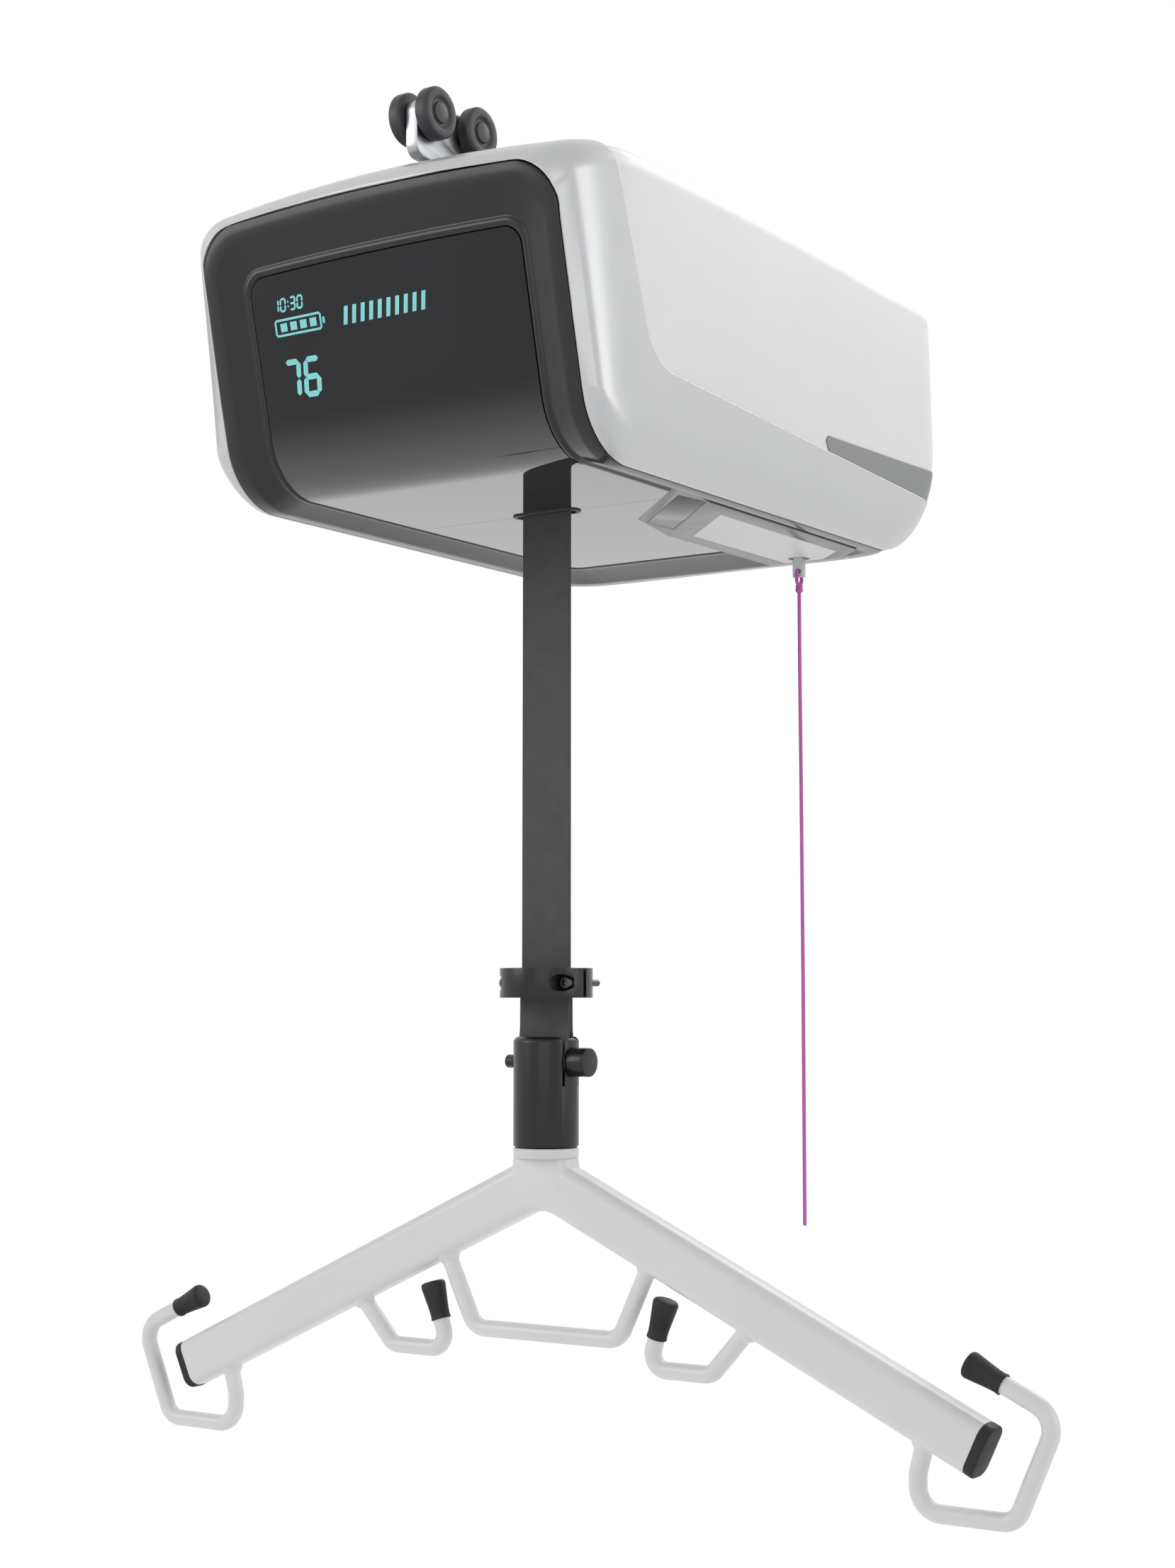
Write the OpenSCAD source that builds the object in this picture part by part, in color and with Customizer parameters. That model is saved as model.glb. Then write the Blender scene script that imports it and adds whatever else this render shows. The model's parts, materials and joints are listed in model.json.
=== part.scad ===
// Ceiling hoist: a moulded housing that hangs from two wheeled trolleys, with a lifting strap,
// a strap clamp and a spreader bar that carries sling hooks.
// X is across the running direction, Y is along it, and Z is up.
// The origin is where the strap's centre line meets the surface that the wheels run on.

/* [Housing] */
// Widest width of the housing
housing_w = 280; // [270:2:310]
// Distance from the strap to the top of the front face
housing_front = 176; // [172:1:190]
// Distance from the strap to the rear end
housing_rear = 288; // [284:1:310]
// Height from the underside to the crown of the top
housing_h = 186.5; // [184:0.5:200]
// Gap between the running surface and the crown of the top
housing_drop = 12; // [11:0.5:18]
// Lean of the front face from upright, in degrees
front_lean = 13.5; // [10:0.5:16]
// Radius of the chin between the front face and the underside
chin_r = 44; // [38:1:48]
// Thickness of the moulded shells
shell_t = 3; // [2:0.5:4]
// How far the hood sits below the surface of the front frame
hood_inset = 1.2; // [0.5:0.1:2]
// Rise of the top from its shoulders to its middle
top_crown = 6; // [3:0.5:9]
// Radius of the rear corners in plan
rear_corner_r = 30; // [20:1:40]
// How far the rear end bows out in plan
rear_bow = 20; // [10:1:26]

/* [Dark face and glass] */
// Width of the shell beside the dark face
face_side = 15; // [13:0.5:18]
// Distance from the strap to the rear edge of the dark face frame
face_rear = 226; // [220:1:232]
// Corner radius of the dark face frame
face_corner_r = 26; // [18:1:34]
// Width of the dark frame beside the glass
glass_side = 30; // [27:0.5:35]
// Thickness of the glass panels
glass_t = 3; // [2:0.5:4]
// How deep the glass lies below the face frame
glass_recess = 5; // [3:0.5:7]
// Distance from the strap to the rear edge of the glass
glass_rear = 168; // [150:1:180]
// Thickness of the label plate
label_t = 0.8; // [0.4:0.1:1.2]

/* [Trolleys] */
// Diameter of the trolley wheels
wheel_d = 30; // [26:1:36]
// Width of a trolley wheel
wheel_w = 9; // [6:0.5:12]
// Diameter of the wheel axles
axle_d = 8; // [6:0.5:10]
// Distance between the two axles of a trolley
axle_pitch = 40; // [38:1:46]
// Thickness of the trolley neck
neck_t = 8; // [6:0.5:9]
// Diameter of the stem that the housing swivels on
stem_d = 20; // [16:1:24]
// Distance from the strap to the front trolley
front_trolley_y = 105; // [95:1:115]
// Distance from the strap to the rear trolley
rear_trolley_y = 185; // [170:1:200]

/* [Lifting gear] */
// Width of the lifting strap
strap_w = 35; // [30:1:40]
// Thickness of the lifting strap
strap_t = 2; // [1.5:0.1:2.5]
// Radius of the drum core
drum_core_r = 25; // [20:1:28]
// Radius of the drum flanges
drum_flange_r = 48; // [45:1:52]
// Radius out to the wound strap
roll_r = 41; // [36:0.5:43]
// Diameter of the drum shaft
shaft_d = 15; // [12:1:18]
// Thickness of the chassis sheet
chassis_t = 3; // [2:0.5:4]
// Gap between the two chassis cheeks
cheek_gap = 60; // [56:1:66]
// Module of the gear teeth
gear_module = 1.5; // [1.25:0.25:1.75]
// Teeth on the drum gear
drum_teeth = 60; // [52:4:60]
// Teeth on the pinion
pinion_teeth = 15; // [13:2:17]
// Face width of the gears
gear_w = 10; // [6:1:12]
// Diameter of the motor
motor_d = 58; // [50:1:64]
// Length of the motor
motor_l = 95; // [80:1:110]

/* [Strap end] */
// Height of the clamp's top below the running surface
clamp_drop = 467.5; // [440:1:500]
// Diameter of the strap clamp
clamp_d = 55.3; // [52:0.1:60]
// Height of the strap clamp
clamp_h = 17.5; // [14:0.5:22]
// Distance from the clamp's top to the barrel's top
barrel_drop = 40.3; // [34:0.1:60]
// Diameter of the barrel
barrel_d = 38.8; // [38.8:0.1:46]
// Height of the barrel
barrel_h = 65; // [58:1:80]
// Diameter of the cross pin
pin_d = 8; // [6:0.5:10]
// Height of the swivel collar
collar_h = 6; // [4:0.5:10]

/* [Spreader bar] */
// Length of each arm along its own axis, from the middle of the bar to its tube end
arm_l = 304.5; // [300:0.5:330]
// Slope of the arms below level, in degrees
arm_drop = 25; // [22:0.5:27]
// Height of the arm's section
arm_h = 30; // [26:1:34]
// Thickness of the arm's section
arm_t = 20; // [16:1:24]
// Corner radius of the arm's section
arm_r = 7; // [4:0.5:8]
// Wall of the arm's tube
arm_wall = 2.5; // [2:0.5:3]
// Diameter of the bent rods
rod_d = 10; // [8:0.5:11]
// Length of a rubber tip
tip_l = 23; // [20:1:26]
// Diameter of a rubber tip at its free end
tip_d = 15; // [14:0.5:17]

/* [Emergency pull] */
// Distance of the pull from the strap, across
pull_x = 65; // [62:1:70]
// Distance of the pull from the strap, along
pull_y = 196; // [190:1:198]
// Diameter of the pull rod
pull_d = 7; // [6:0.5:8]
// How far the pull moves down
pull_travel = 8; // [5:1:8]
// Diameter of the pull cord
cord_d = 2.4; // [2:0.1:3]

/* [Hidden] */

// One overrun serves every cut, and these gaps serve every fit
over = 1;
gap = 0.3;
run_gap = 0.05;
seat_gap = 0.2;
fn_fine = 64;
fn_mid = 40;
fn_small = 24;
nut_sides = 6;
quarter_turn = 90;
half_turn = 180;
full_turn = 360;
radian = half_turn / PI;

// Colours
white_c = [0.93, 0.93, 0.94];
silver_c = [0.82, 0.83, 0.84];
grey_c = [0.55, 0.55, 0.56];
dark_c = [0.17, 0.17, 0.18];
glass_c = [0.22, 0.22, 0.24];
black_c = [0.12, 0.12, 0.13];
web_c = [0.25, 0.25, 0.26];
steel_c = [0.68, 0.69, 0.71];
board_c = [0.15, 0.38, 0.22];
tab_c = [0.85, 0.86, 0.84];
cord_c = [0.66, 0.30, 0.58];

// Housing outline. Heights are below the running surface, so they are negative
half_w = housing_w / 2;
crown_z = -housing_drop;
bottom_z = crown_z - housing_h;
shoulder_z = crown_z - top_crown;
face_top_drop = 33.5;
face_top_z = crown_z - face_top_drop;
lean_t = tan(front_lean);
chin_z = bottom_z + chin_r;
chin_top_z = chin_z - chin_r * sin(front_lean);
chin_top_y = -housing_front + (face_top_z - chin_top_z) * lean_t;
chin_y = chin_top_y + chin_r * cos(front_lean);
rear_flat_gap = 16;
rear_flat_y = face_rear - rear_flat_gap;
rear_mid_drop = 69;
rear_mid_z = crown_z - rear_mid_drop;
rear_top_r = 30;
rear_roll_r = 52;
lip_w = 14;
lip_edge = 0.5;
lip_top = 23;
tumble = 2.5;
top_corner = [22, 18];
low_corner_h = 26;
top_arch = 2;
arch_y = 40;
arch_half = 150;

// Shares that shape the front rings of the housing, from the face edge back to the chin's end
front_turn_shares = [0, 0.11, 0.25, 0.41, 0.61, 0.81, 1];
front_back_shares = [0, 0.09, 0.22, 0.42, 0.64, 0.83, 1];
front_side_shares = [1, 0.5, 0.25, 0.11, 0.03, 0, 0];
front_top_shares = [1, 0.7, 0.46, 0.26, 0.12, 0.04, 0];
front_corner_shares = [0.03, 0.3, 0.5, 0.72, 0.92, 1, 1];
mid_shares = [0.3, 0.6, 0.85, 1];
mid_bow_shares = [0, 0.1, 0.5, 1];
rear_shares = [0.25, 0.48, 0.68, 0.82, 0.91, 0.97, 1];
edge_shares = [0, 0.35, 0.7];
rear_low_share = 0.45;
rear_top_share = 0.4;
rear_crown_share = 0.7;
corner_steps = 4;

// Length of the dark face along its own curve, from the chin's start up the front and to the rear
turn_deg = quarter_turn - front_lean;
chin_len = chin_r * turn_deg / radian;
front_len = (face_top_z - chin_top_z) / cos(front_lean);
face_v_top = -chin_len - front_len;
face_v_rear = face_rear - chin_y;
face_v_flat = rear_flat_y - chin_y;
face_crown = 5.5;
face_half = half_w - face_side;
face_t = 3.5;
face_fit = 0.9;
crown_fade = 70;
bow_fade = 30;
glass_top_inset = 32.5;
glass_half = face_half - glass_side;
glass_v_top = face_v_top + glass_top_inset;
glass_v_rear = glass_rear - chin_y;
glass_corner_r = 10;
frame_step_shares = [0, 0.3, 0.83, 0.87, 0.93, 1];
frame_rise_shares = [0, 0, 1.12, 0.9, 0.9, 1.12];
frame_back_steps = [5, 2, 1, 0];
frame_back_shares = [1.12, 1.12, 0, 0];
end_shares = [0.75, 0.5, 0.25, 0, -0.25, -0.5, -0.75];
across_shares = [-1, -0.75, -0.5, -0.25, 0, 0.25, 0.5, 0.75, 1];
belly_shares = [0.333, 0.667, 1];
chin_steps = 6;
corner_shares = [0, 0.06, 0.2, 0.42, 0.7, 1];
face_cut_depth = 14;
glass_z = bottom_z + glass_recess;

// Panel that carries the sensor window, the label and the pull. Its front edge runs at 45 degrees
panel_left = 36.5;
panel_side = 13;
panel_right = face_half - panel_side;
panel_rear = 209;
panel_rear_cut = 22;
panel_gap_line = 81;
panel_ramp_foot = 117;
panel_t = 9;
label_left = 49;
label_side = 14;
label_right = panel_right - label_side;
label_front_line = 138;
label_rear_cut = 20;
label_rear = 206;
label_hole_d = 14;
window_start = 16.3;
window_w = 17;
window_t = 1;
diagonal = sqrt(2);
window_low = (panel_left + window_start - panel_ramp_foot / 2) * diagonal;
window_high = (panel_right - panel_ramp_foot / 2) * diagonal;

// Seam between the front frame and the hood, seen from the side
seam_top_y = -140;
seam_slope_run = 41;
seam_corner_z = -143;
seam_corner_r = 30;
seam_fall = 22;
band_front_y = 98;
band_rise = 4;
band_tip_r = 5;
band_tip_from = 100;
band_tip_turn = 70;
band_tip_steps = 4;
seam_steps = 8;
seam_fall_t = seam_fall / (housing_rear - seam_top_y - seam_slope_run);

// Slot in the underside for the strap
slot_w = 42;
slot_l = 8;
guide_w = 52;
guide_l = 18;
guide_lip = 2.5;

// Chassis
plate_z = -24;
plate_w = 128;
plate_front = 128;
plate_rear = 225;
cheek_front = 120;
cheek_rear = 135;
cheek_lift = 18.5;
cheek_low_z = bottom_z + cheek_lift;
cheek_x = cheek_gap / 2;
cheek_out = cheek_x + chassis_t;
cheek_window = [50, 70];
cheek_window_y = -58;
cheek_window_r = 10;
screw_d = 4;
screw_head_d = 8;
screw_head_h = 2.4;
screw_sink = 2.8;
hood_boss_d = 13;
hood_boss_cut = 16;
hood_screw_x = 50;
hood_screw_front = 80;
hood_screw_rear = 130;

// Drum, gears and motor
drum_z = -100;
drum_side = 1;
drum_flange_t = 3;
drum_half = strap_w / 2 + drum_side + drum_flange_t;
drum_boss_t = 5.5;
drum_y = roll_r + strap_t / 2 + gap;
drum_hole_d = 12;
drum_holes = 6;
bearing_d = 32;
bearing_flange_d = 44;
bearing_w = 9;
shaft_over = 3;
gear_side = 1;
gear_x = cheek_out + bearing_w - chassis_t + gear_side;
pressure_angle = 20;
gear_hole_r = 26.5;
gear_add_share = 0.95;
gear_ded_share = 1.25;
gear_slack = 0.3;
pinion_y = drum_y + gear_module * (drum_teeth + pinion_teeth) / 2;
pinion_shaft_d = 12;
gearbox_size = [40, 64, 64];
gearbox_gap = 4;
gearbox_x = gear_x + gear_w + gearbox_gap;
gearbox_corner = 6;
post_d = 9;
motor_x = gearbox_x + gearbox_size[0] / 2;
motor_ribs = 12;
motor_cap = 12;
motor_rib = 3;
motor_rib_h = 5;

// Batteries and boards
battery_side = 18;
battery_x = half_w - battery_side;
battery_clear = 17;
battery = [battery_x - cheek_out - battery_clear, 98, 96];
battery_space = 4;
terminal_shares = [0.25, 0.75];
battery_front = -8;
terminal_d = 6;
tray_t = 2;
tray_lift = 16.5;
tray_z = bottom_z + tray_lift;
tray_lip = 14;
board_lift = 40.5;
board_low_z = bottom_z + board_lift;
board_top_gap = 31;
board = [1.6, 104, plate_z - chassis_t - board_top_gap - board_low_z];
board_y = -68;
chip_shares = [0.25, 0.5];
chip_high_shares = [0.33, 0.67];
can_shares = [0.25, 0.5, 0.75];
can_place_share = 0.875;
board_gap = 8;
board_post = 6;
chip_side = 14;
chip_t = 2;
can_d = 12;
can_l = 20;
display_side = 20;
display_end = 3;
display_t = 6;
display_mid_v = glass_v_top + (front_len - glass_top_inset) / 2;
display = [2 * glass_half - 2 * display_side, display_t, front_len - glass_top_inset - 2 * display_end];

// Guide roller
roller_d = 14;
roller_lift = 27;
roller_side = 2;
roller_z = bottom_z + roller_lift;
roller_y = -strap_t / 2 - gap - roller_d / 2;
roller_pin_d = 6;
roller_ring_t = 2;
switch_size = [16, 20, 12];
switch_lever = 4;

// Trolleys
neck_l = 60;
neck_h = 24;
neck_low_z = crown_z + 2;
wheel_z = wheel_d / 2;
wheel_side = 1;
wheel_hub_d = 16;
wheel_dish = 1.5;
axle_head_d = 12;
stem_hole_gap = 4;
bush_t = 3;
bush_flange_d = 34;
bush_low = 4;
nut_d = 30;
nut_h = 8;
thread_d = 16;
thread_l = 11;

// Strap end
clamp_top_z = -clamp_drop;
clamp_low_z = clamp_top_z - clamp_h;
clamp_split = 3;
clamp_screw_d = 4;
clamp_screw_x = strap_w / 2 + 4.4;
clamp_bore_d = 10;
clamp_bore_y = 9;
clamp_head_d = 7;
clamp_head_h = 4;
clamp_tail_in = 4;
tail_w = strap_w + 0.9;
tail_t = 2 * strap_t + 0.4;
barrel_top_z = clamp_top_z - barrel_drop;
barrel_low_z = barrel_top_z - barrel_h;
barrel_round = 3.5;
pin_z = barrel_top_z - 15;
pin_head_d = 17;
pin_head_l = 12;
pin_end_l = 8.3;
barrel_slot_t = pin_d + 2 * tail_t;
barrel_slot_low = pin_z - 14;
web_h = 28;
bolt_d = 12;
bolt_head_d = 18;
bolt_head_h = 6;
bolt_pocket_d = 22;
collar_top_z = barrel_low_z - gap;
collar_low_z = collar_top_z - collar_h;
hub_top_z = collar_low_z;

// Spreader bar
hub_w = 40;
arm_top_drop = 12;
arm_z = hub_top_z - arm_top_drop;
arm_c = cos(arm_drop);
arm_s = sin(arm_drop);
arm_slope = arm_s / arm_c;
crotch_r = 24;
cap_t = 6;
cap_plug = 14;

// Rod shapes as shares of an arm's length: across from the bar's middle, and down from the arm's underside
loop_top_share = 0.2332;
loop_low_share = 0.1691;
loop_drop_share = 0.1341;
loop_r = 12;
inner_root_share = 0.4466;
inner_out_share = 0.3727;
inner_in_share = 0.2342;
inner_drop_share = 0.0822;
inner_rise_share = 0.1018;
inner_tip_lean = 17.5;
inner_r = [10, 9];
outer_root_share = 0.8046;
outer_in_share = 0.7915;
outer_out_share = 0.9754;
outer_drop_share = 0.1140;
outer_far_share = 1.0558;
outer_high_share = 0.0700;
outer_back_share = 0.1412;
outer_r = [20, 13, 12, 14];
bend_steps = 5;
rod_sides = 20;
root_in = 8;
tip_neck_d = 11.6;
tip_bore = 14;
tip_round = 3;

// Emergency pull
pull_head_d = 13;
pull_head_t = 3;
pull_eye_d = 4;
spring_solid_l = 5;
spring_l = pull_travel + spring_solid_l;
spring_wire = 1;
spring_turns = 4;
spring_d = 10;
pull_switch_size = [24, 24, 26];
pull_switch_bore = 15;
pull_switch_roof = 3;
pull_tab = [8, 3, 12];
pull_head_z = bottom_z + panel_t + spring_l;
pull_eye_drop = 8.5;
pull_eye_z = bottom_z - pull_eye_drop;
spring_side_steps = 10;
spring_steps = spring_side_steps * spring_turns;
spring_sides = 6;
loop_half_w = 3.4;
loop_steps = 24;
knot_d = 5;
knot_l = 5;
cord_sides = 8;
cord_drop = 22.5;
// The cord's own route, from its loop down to its cut end
cord_route = [[65, 196, -221], [65, 196, -235], [65, 196, -260], [65.1, 196, -290], [65.3, 195.9, -320],
  [65.5, 195.8, -350], [65.7, 195.6, -380], [65.9, 195.4, -410], [66.1, 195.2, -440], [66.3, 195, -470],
  [66.4, 194.8, -500], [66.5, 194.6, -530], [66.6, 194.4, -560], [66.7, 194.2, -590], [66.8, 194, -630]];
cord_shift = [pull_x, pull_y, bottom_z - cord_drop] - cord_route[0];

// Small helpers
function mix(a, b, t) = a + (b - a) * t;
function clip(t) = min(1, max(0, t));
function dir_deg(a, b) = atan2(b[1] - a[1], b[0] - a[0]);
function unit(deg) = [cos(deg), sin(deg)];
function turn_of(a, b) = (b - a + full_turn + half_turn) % full_turn - half_turn;

module rounded_rect(w, h, r) {
  square([w, h - 2 * r], center = true);
  square([w - 2 * r, h], center = true);
  for (x = [-1, 1], y = [-1, 1])
    translate([x * (w / 2 - r), y * (h / 2 - r)]) circle(r, $fn = fn_mid);
}

module along_x(x, l, d, fn = fn_mid) {
  translate([x, 0, 0]) rotate([0, quarter_turn, 0]) cylinder(h = l, d = d, $fn = fn);
}

// Joins rings of points into one closed solid. Each ring has the same number of points
module skin(rings) {
  count = len(rings[0]);
  last = len(rings) - 1;
  ends = [for (k = [0, last]) [for (a = [0:2]) ring_mean(rings[k], a)]];
  points = concat([for (r = rings) each r], ends);
  first_mid = len(points) - 2;
  sides = [for (k = [0:last - 1], i = [0:count - 1]) let (j = (i + 1) % count)
    each [[k * count + i, k * count + j, (k + 1) * count + j],
      [k * count + i, (k + 1) * count + j, (k + 1) * count + i]]];
  front = [for (i = [0:count - 1]) [first_mid, (i + 1) % count, i]];
  back = [for (i = [0:count - 1]) [first_mid + 1, last * count + i, last * count + (i + 1) % count]];
  polyhedron(points = points, faces = concat(sides, front, back));
}
function ring_mean(ring, axis, i = 0, sum = 0) =
  i == len(ring) ? sum / len(ring) : ring_mean(ring, axis, i + 1, sum + ring[i][axis]);

// Housing rings. A ring is a crowned, rounded cross section between a low point and a high point
function arc_of(c, r, from) = [for (i = [0:corner_steps]) let (a = from + quarter_turn * i / corner_steps)
  [c[0] + r[0] * cos(a), c[1] + r[1] * sin(a)]];
function half_section(w, low, high, rb, rt, crown) = let (wt = w - tumble - rt[0])
  concat([for (s = edge_shares) [s * (w - rb[0]), low]],
    arc_of([w - rb[0], low + rb[1]], rb, -quarter_turn),
    arc_of([wt, high - rt[1]], rt, 0),
    [for (i = [len(edge_shares) - 1:-1:0]) let (s = edge_shares[i]) [s * wt, high + crown * (1 - s * s)]]);
function section(w, low, high, rb, rt, crown) = let (h = half_section(w, low, high, rb, rt, crown))
  concat(h, [for (i = [len(h) - 2:-1:1]) [-h[i][0], h[i][1]]]);
function ring(w, low, high, rb, rt, bow = 0, crown = top_crown) =
  [for (p = section(w, low[1], high[1], rb, rt, crown))
    [p[0], mix(low[0], high[0], (p[1] - low[1]) / (high[1] - low[1])) - bow * pow(p[0] / half_w, 2), p[1]]];
function arch(y) = top_arch * pow((y - arch_y) / arch_half, 2);

function front_ring(i, inset) = let (
    a = front_lean + turn_deg * front_turn_shares[i],
    w = half_w - lip_w * front_side_shares[i] - inset,
    low = [chin_y - (chin_r - inset) * cos(a), chin_z - (chin_r - inset) * sin(a)],
    top = mix(-housing_front - lip_edge * lean_t, chin_y, front_back_shares[i]),
    high = [top + inset * (1 - front_back_shares[i]) / cos(front_lean),
      shoulder_z - arch(top) - lip_top * front_top_shares[i] - inset],
    rb = max(lip_edge, w + inset - face_half - lip_edge) )
  ring(w, low, high, [rb, low_corner_h * front_corner_shares[i]], top_corner);
function mid_ring(i, inset) = let (y = mix(chin_y, rear_flat_y, mid_shares[i]))
  ring(half_w - inset, [y, bottom_z + inset], [y, shoulder_z - arch(y) - inset],
    [half_w - face_half - lip_edge, low_corner_h], top_corner, rear_bow * mid_bow_shares[i]);
function rear_ring(i, inset) = let (
    s = rear_shares[i],
    y = mix(rear_flat_y, housing_rear - inset, s),
    over_corner = clip((y - housing_rear + inset + rear_corner_r) / rear_corner_r),
    over_top = clip((y - housing_rear + inset + rear_top_r) / rear_top_r),
    w = half_w - inset - rear_corner_r * (1 - sqrt(1 - over_corner * over_corner)),
    low = mix(bottom_z + inset, rear_mid_z, 1 - sqrt(1 - s * s)),
    high = shoulder_z - arch(rear_flat_y) - inset - rear_top_r * (1 - sqrt(1 - over_top * over_top)),
    room = high - low )
  ring(w, [y, low], [y, high], [half_w - face_half - lip_edge, min(low_corner_h, rear_low_share * room)],
    [top_corner[0], min(top_corner[1], rear_top_share * room)], rear_bow,
    top_crown * sqrt(1 - rear_crown_share * over_top));

module housing_body(inset) {
  skin(concat(
    [for (i = [0:len(front_turn_shares) - 1]) front_ring(i, inset)],
    [for (i = [0:len(mid_shares) - 1]) mid_ring(i, inset)],
    [for (i = [0:len(rear_shares) - 1]) rear_ring(i, inset)]));
}

// The dark face is a sheet bent round the chin. u is across, v is along its curve, n is outwards
function bent(u, v0, n) = let (
    v = v0 - face_crown * (1 - pow(u / face_half, 2)) * clip((v0 - face_v_top - crown_fade) / -crown_fade)
      - rear_bow * pow(u / half_w, 2) * clip((v0 - face_v_rear + bow_fade) / bow_fade),
    a = -v / chin_r * radian,
    b = (v - face_v_flat) / rear_roll_r * radian,
    s = -v - chin_len )
  v > face_v_flat ? [u, rear_flat_y + (rear_roll_r + n) * sin(b),
      bottom_z + rear_roll_r - (rear_roll_r + n) * cos(b)]
  : v >= 0 ? [u, chin_y + v, bottom_z - n]
  : s <= 0 ? [u, chin_y - (chin_r + n) * sin(a), chin_z - (chin_r + n) * cos(a)]
  : [u, chin_top_y - s * sin(front_lean) - n * cos(front_lean),
      chin_top_z + s * cos(front_lean) - n * sin(front_lean)];

// Stations along v between two ends, with the curved stretches cut finer
function stations(v_low, v_high) = let (
    inner = concat([-chin_len - front_len / 2], [for (i = [0:chin_steps]) -chin_len * (1 - i / chin_steps)],
      [for (b = belly_shares) b * face_v_flat]) )
  [for (v = inner) if (v > v_low + over && v < v_high - over) v];

// Stations with half-widths that round both ends of a sheet
function sheet_rows(half, v_low, v_high, r_low, r_high) = concat(
  [for (s = corner_shares) if (r_low > 0) [v_low + r_low * s, half - r_low + r_low * sqrt(1 - pow(1 - s, 2))]],
  r_low > 0 ? [] : [[v_low, half]],
  [for (v = stations(v_low + r_low, v_high - r_high)) [v, half]],
  r_high > 0 ? [] : [[v_high, half]],
  [for (i = [len(corner_shares) - 1:-1:0]) let (s = corner_shares[i])
    if (r_high > 0) [v_high - r_high * s, half - r_high + r_high * sqrt(1 - pow(1 - s, 2))]]);

module bent_sheet(rows, n_out, n_in) {
  m = len(across_shares);
  last = len(rows) - 1;
  points = [for (row = rows) each concat(
    [for (s = across_shares) bent(s * row[1], row[0], n_out)],
    [for (i = [m - 1:-1:0]) bent(across_shares[i] * row[1], row[0], n_in)])];
  sides = [for (k = [0:last - 1], i = [0:2 * m - 1])
    let (a = 2 * m * k, b = 2 * m * (k + 1), j = (i + 1) % (2 * m))
    each [[a + i, a + j, b + j], [a + i, b + j, b + i]]];
  ends = [for (i = [0:m - 2]) let (o = 2 * m - 1 - i, e = 2 * m * last)
    each [[i, o, i + 1], [i + 1, o, o - 1], [e + i, e + i + 1, e + o], [e + i + 1, e + o - 1, e + o]]];
  polyhedron(points = points, faces = concat(sides, ends));
}

// Outline of a bent frame as one closed loop of [u, v] points
function loop_of(half, v_low, v_high, r) = let (rows = sheet_rows(half, v_low, v_high, r, r))
  concat([for (row = rows) [row[1], row[0]]],
    [for (s = end_shares) [s * rows[len(rows) - 1][1], v_high]],
    [for (i = [len(rows) - 1:-1:0]) [-rows[i][1], rows[i][0]]],
    [for (s = end_shares) [-s * rows[0][1], v_low]]);

module face_ring() {
  outer = loop_of(face_half - face_fit, face_v_top + face_fit, face_v_rear - face_fit, face_corner_r);
  hole = loop_of(glass_half + gap, glass_v_top - gap, glass_v_rear + gap, glass_corner_r + gap);
  count = len(outer);
  steps = len(frame_step_shares);
  rings = [for (i = [0:count - 1]) concat(
    [for (j = [0:steps - 1]) let (p = mix(outer[i], hole[i], frame_step_shares[j]))
      bent(p[0], p[1], -glass_recess * frame_rise_shares[j])],
    [for (j = [0:len(frame_back_steps) - 1])
      let (p = mix(outer[i], hole[i], frame_step_shares[frame_back_steps[j]]))
      bent(p[0], p[1], -glass_recess * frame_back_shares[j] - face_t)])];
  closed_skin(rings);
}
// Joins rings that close on themselves, as in a frame
module closed_skin(rings) {
  count = len(rings[0]);
  total = len(rings);
  points = [for (r = rings) each r];
  sides = [for (k = [0:total - 1], i = [0:count - 1]) let (j = (i + 1) % count, m = (k + 1) % total)
    each [[k * count + i, m * count + j, k * count + j], [k * count + i, m * count + i, m * count + j]]];
  polyhedron(points = points, faces = sides);
}

// Side view of the seam, as the outline of everything behind and above it
function seam_outline(grow) = let (
    slope = dir_deg([0, 0], [seam_slope_run, seam_corner_z - crown_z]),
    corner = [seam_top_y + seam_slope_run, seam_corner_z],
    fall = dir_deg([0, 0], [housing_rear - corner[0], -seam_fall]),
    turn = turn_of(slope, fall),
    t = seam_corner_r * tan(turn / 2),
    centre = corner - t * unit(slope) + seam_corner_r * unit(slope + quarter_turn) )
  concat([[seam_top_y - grow, crown_z + over]],
    [for (i = [0:seam_steps])
      centre + (seam_corner_r + grow) * unit(slope - quarter_turn + turn * i / seam_steps)],
    [[housing_rear + over, seam_corner_z - seam_fall - grow], [housing_rear + over, crown_z + over]]);
module side_cut(points) {
  rotate([quarter_turn, 0, quarter_turn]) linear_extrude(housing_w + 2 * over, center = true) polygon(points);
}
function seam_line_z(y) = seam_corner_z - seam_fall_t * (y - seam_top_y - seam_slope_run);
function band_outline(grow) = let (
    tip = [band_front_y + band_tip_r, seam_line_z(band_front_y) + band_tip_r] )
  concat([for (i = [0:band_tip_steps])
      tip + (band_tip_r + grow) * unit(band_tip_from + band_tip_turn * i / band_tip_steps)],
    [[tip[0], seam_line_z(tip[0]) - over], [housing_rear + over, seam_line_z(housing_rear) - over],
      [housing_rear + over, tip[1] + band_tip_r + band_rise + grow]]);

module face_opening(grow) {
  bent_sheet(sheet_rows(face_half + grow, face_v_top - grow, face_v_rear + grow, face_corner_r, face_corner_r),
    face_cut_depth, -face_cut_depth);
}

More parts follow.
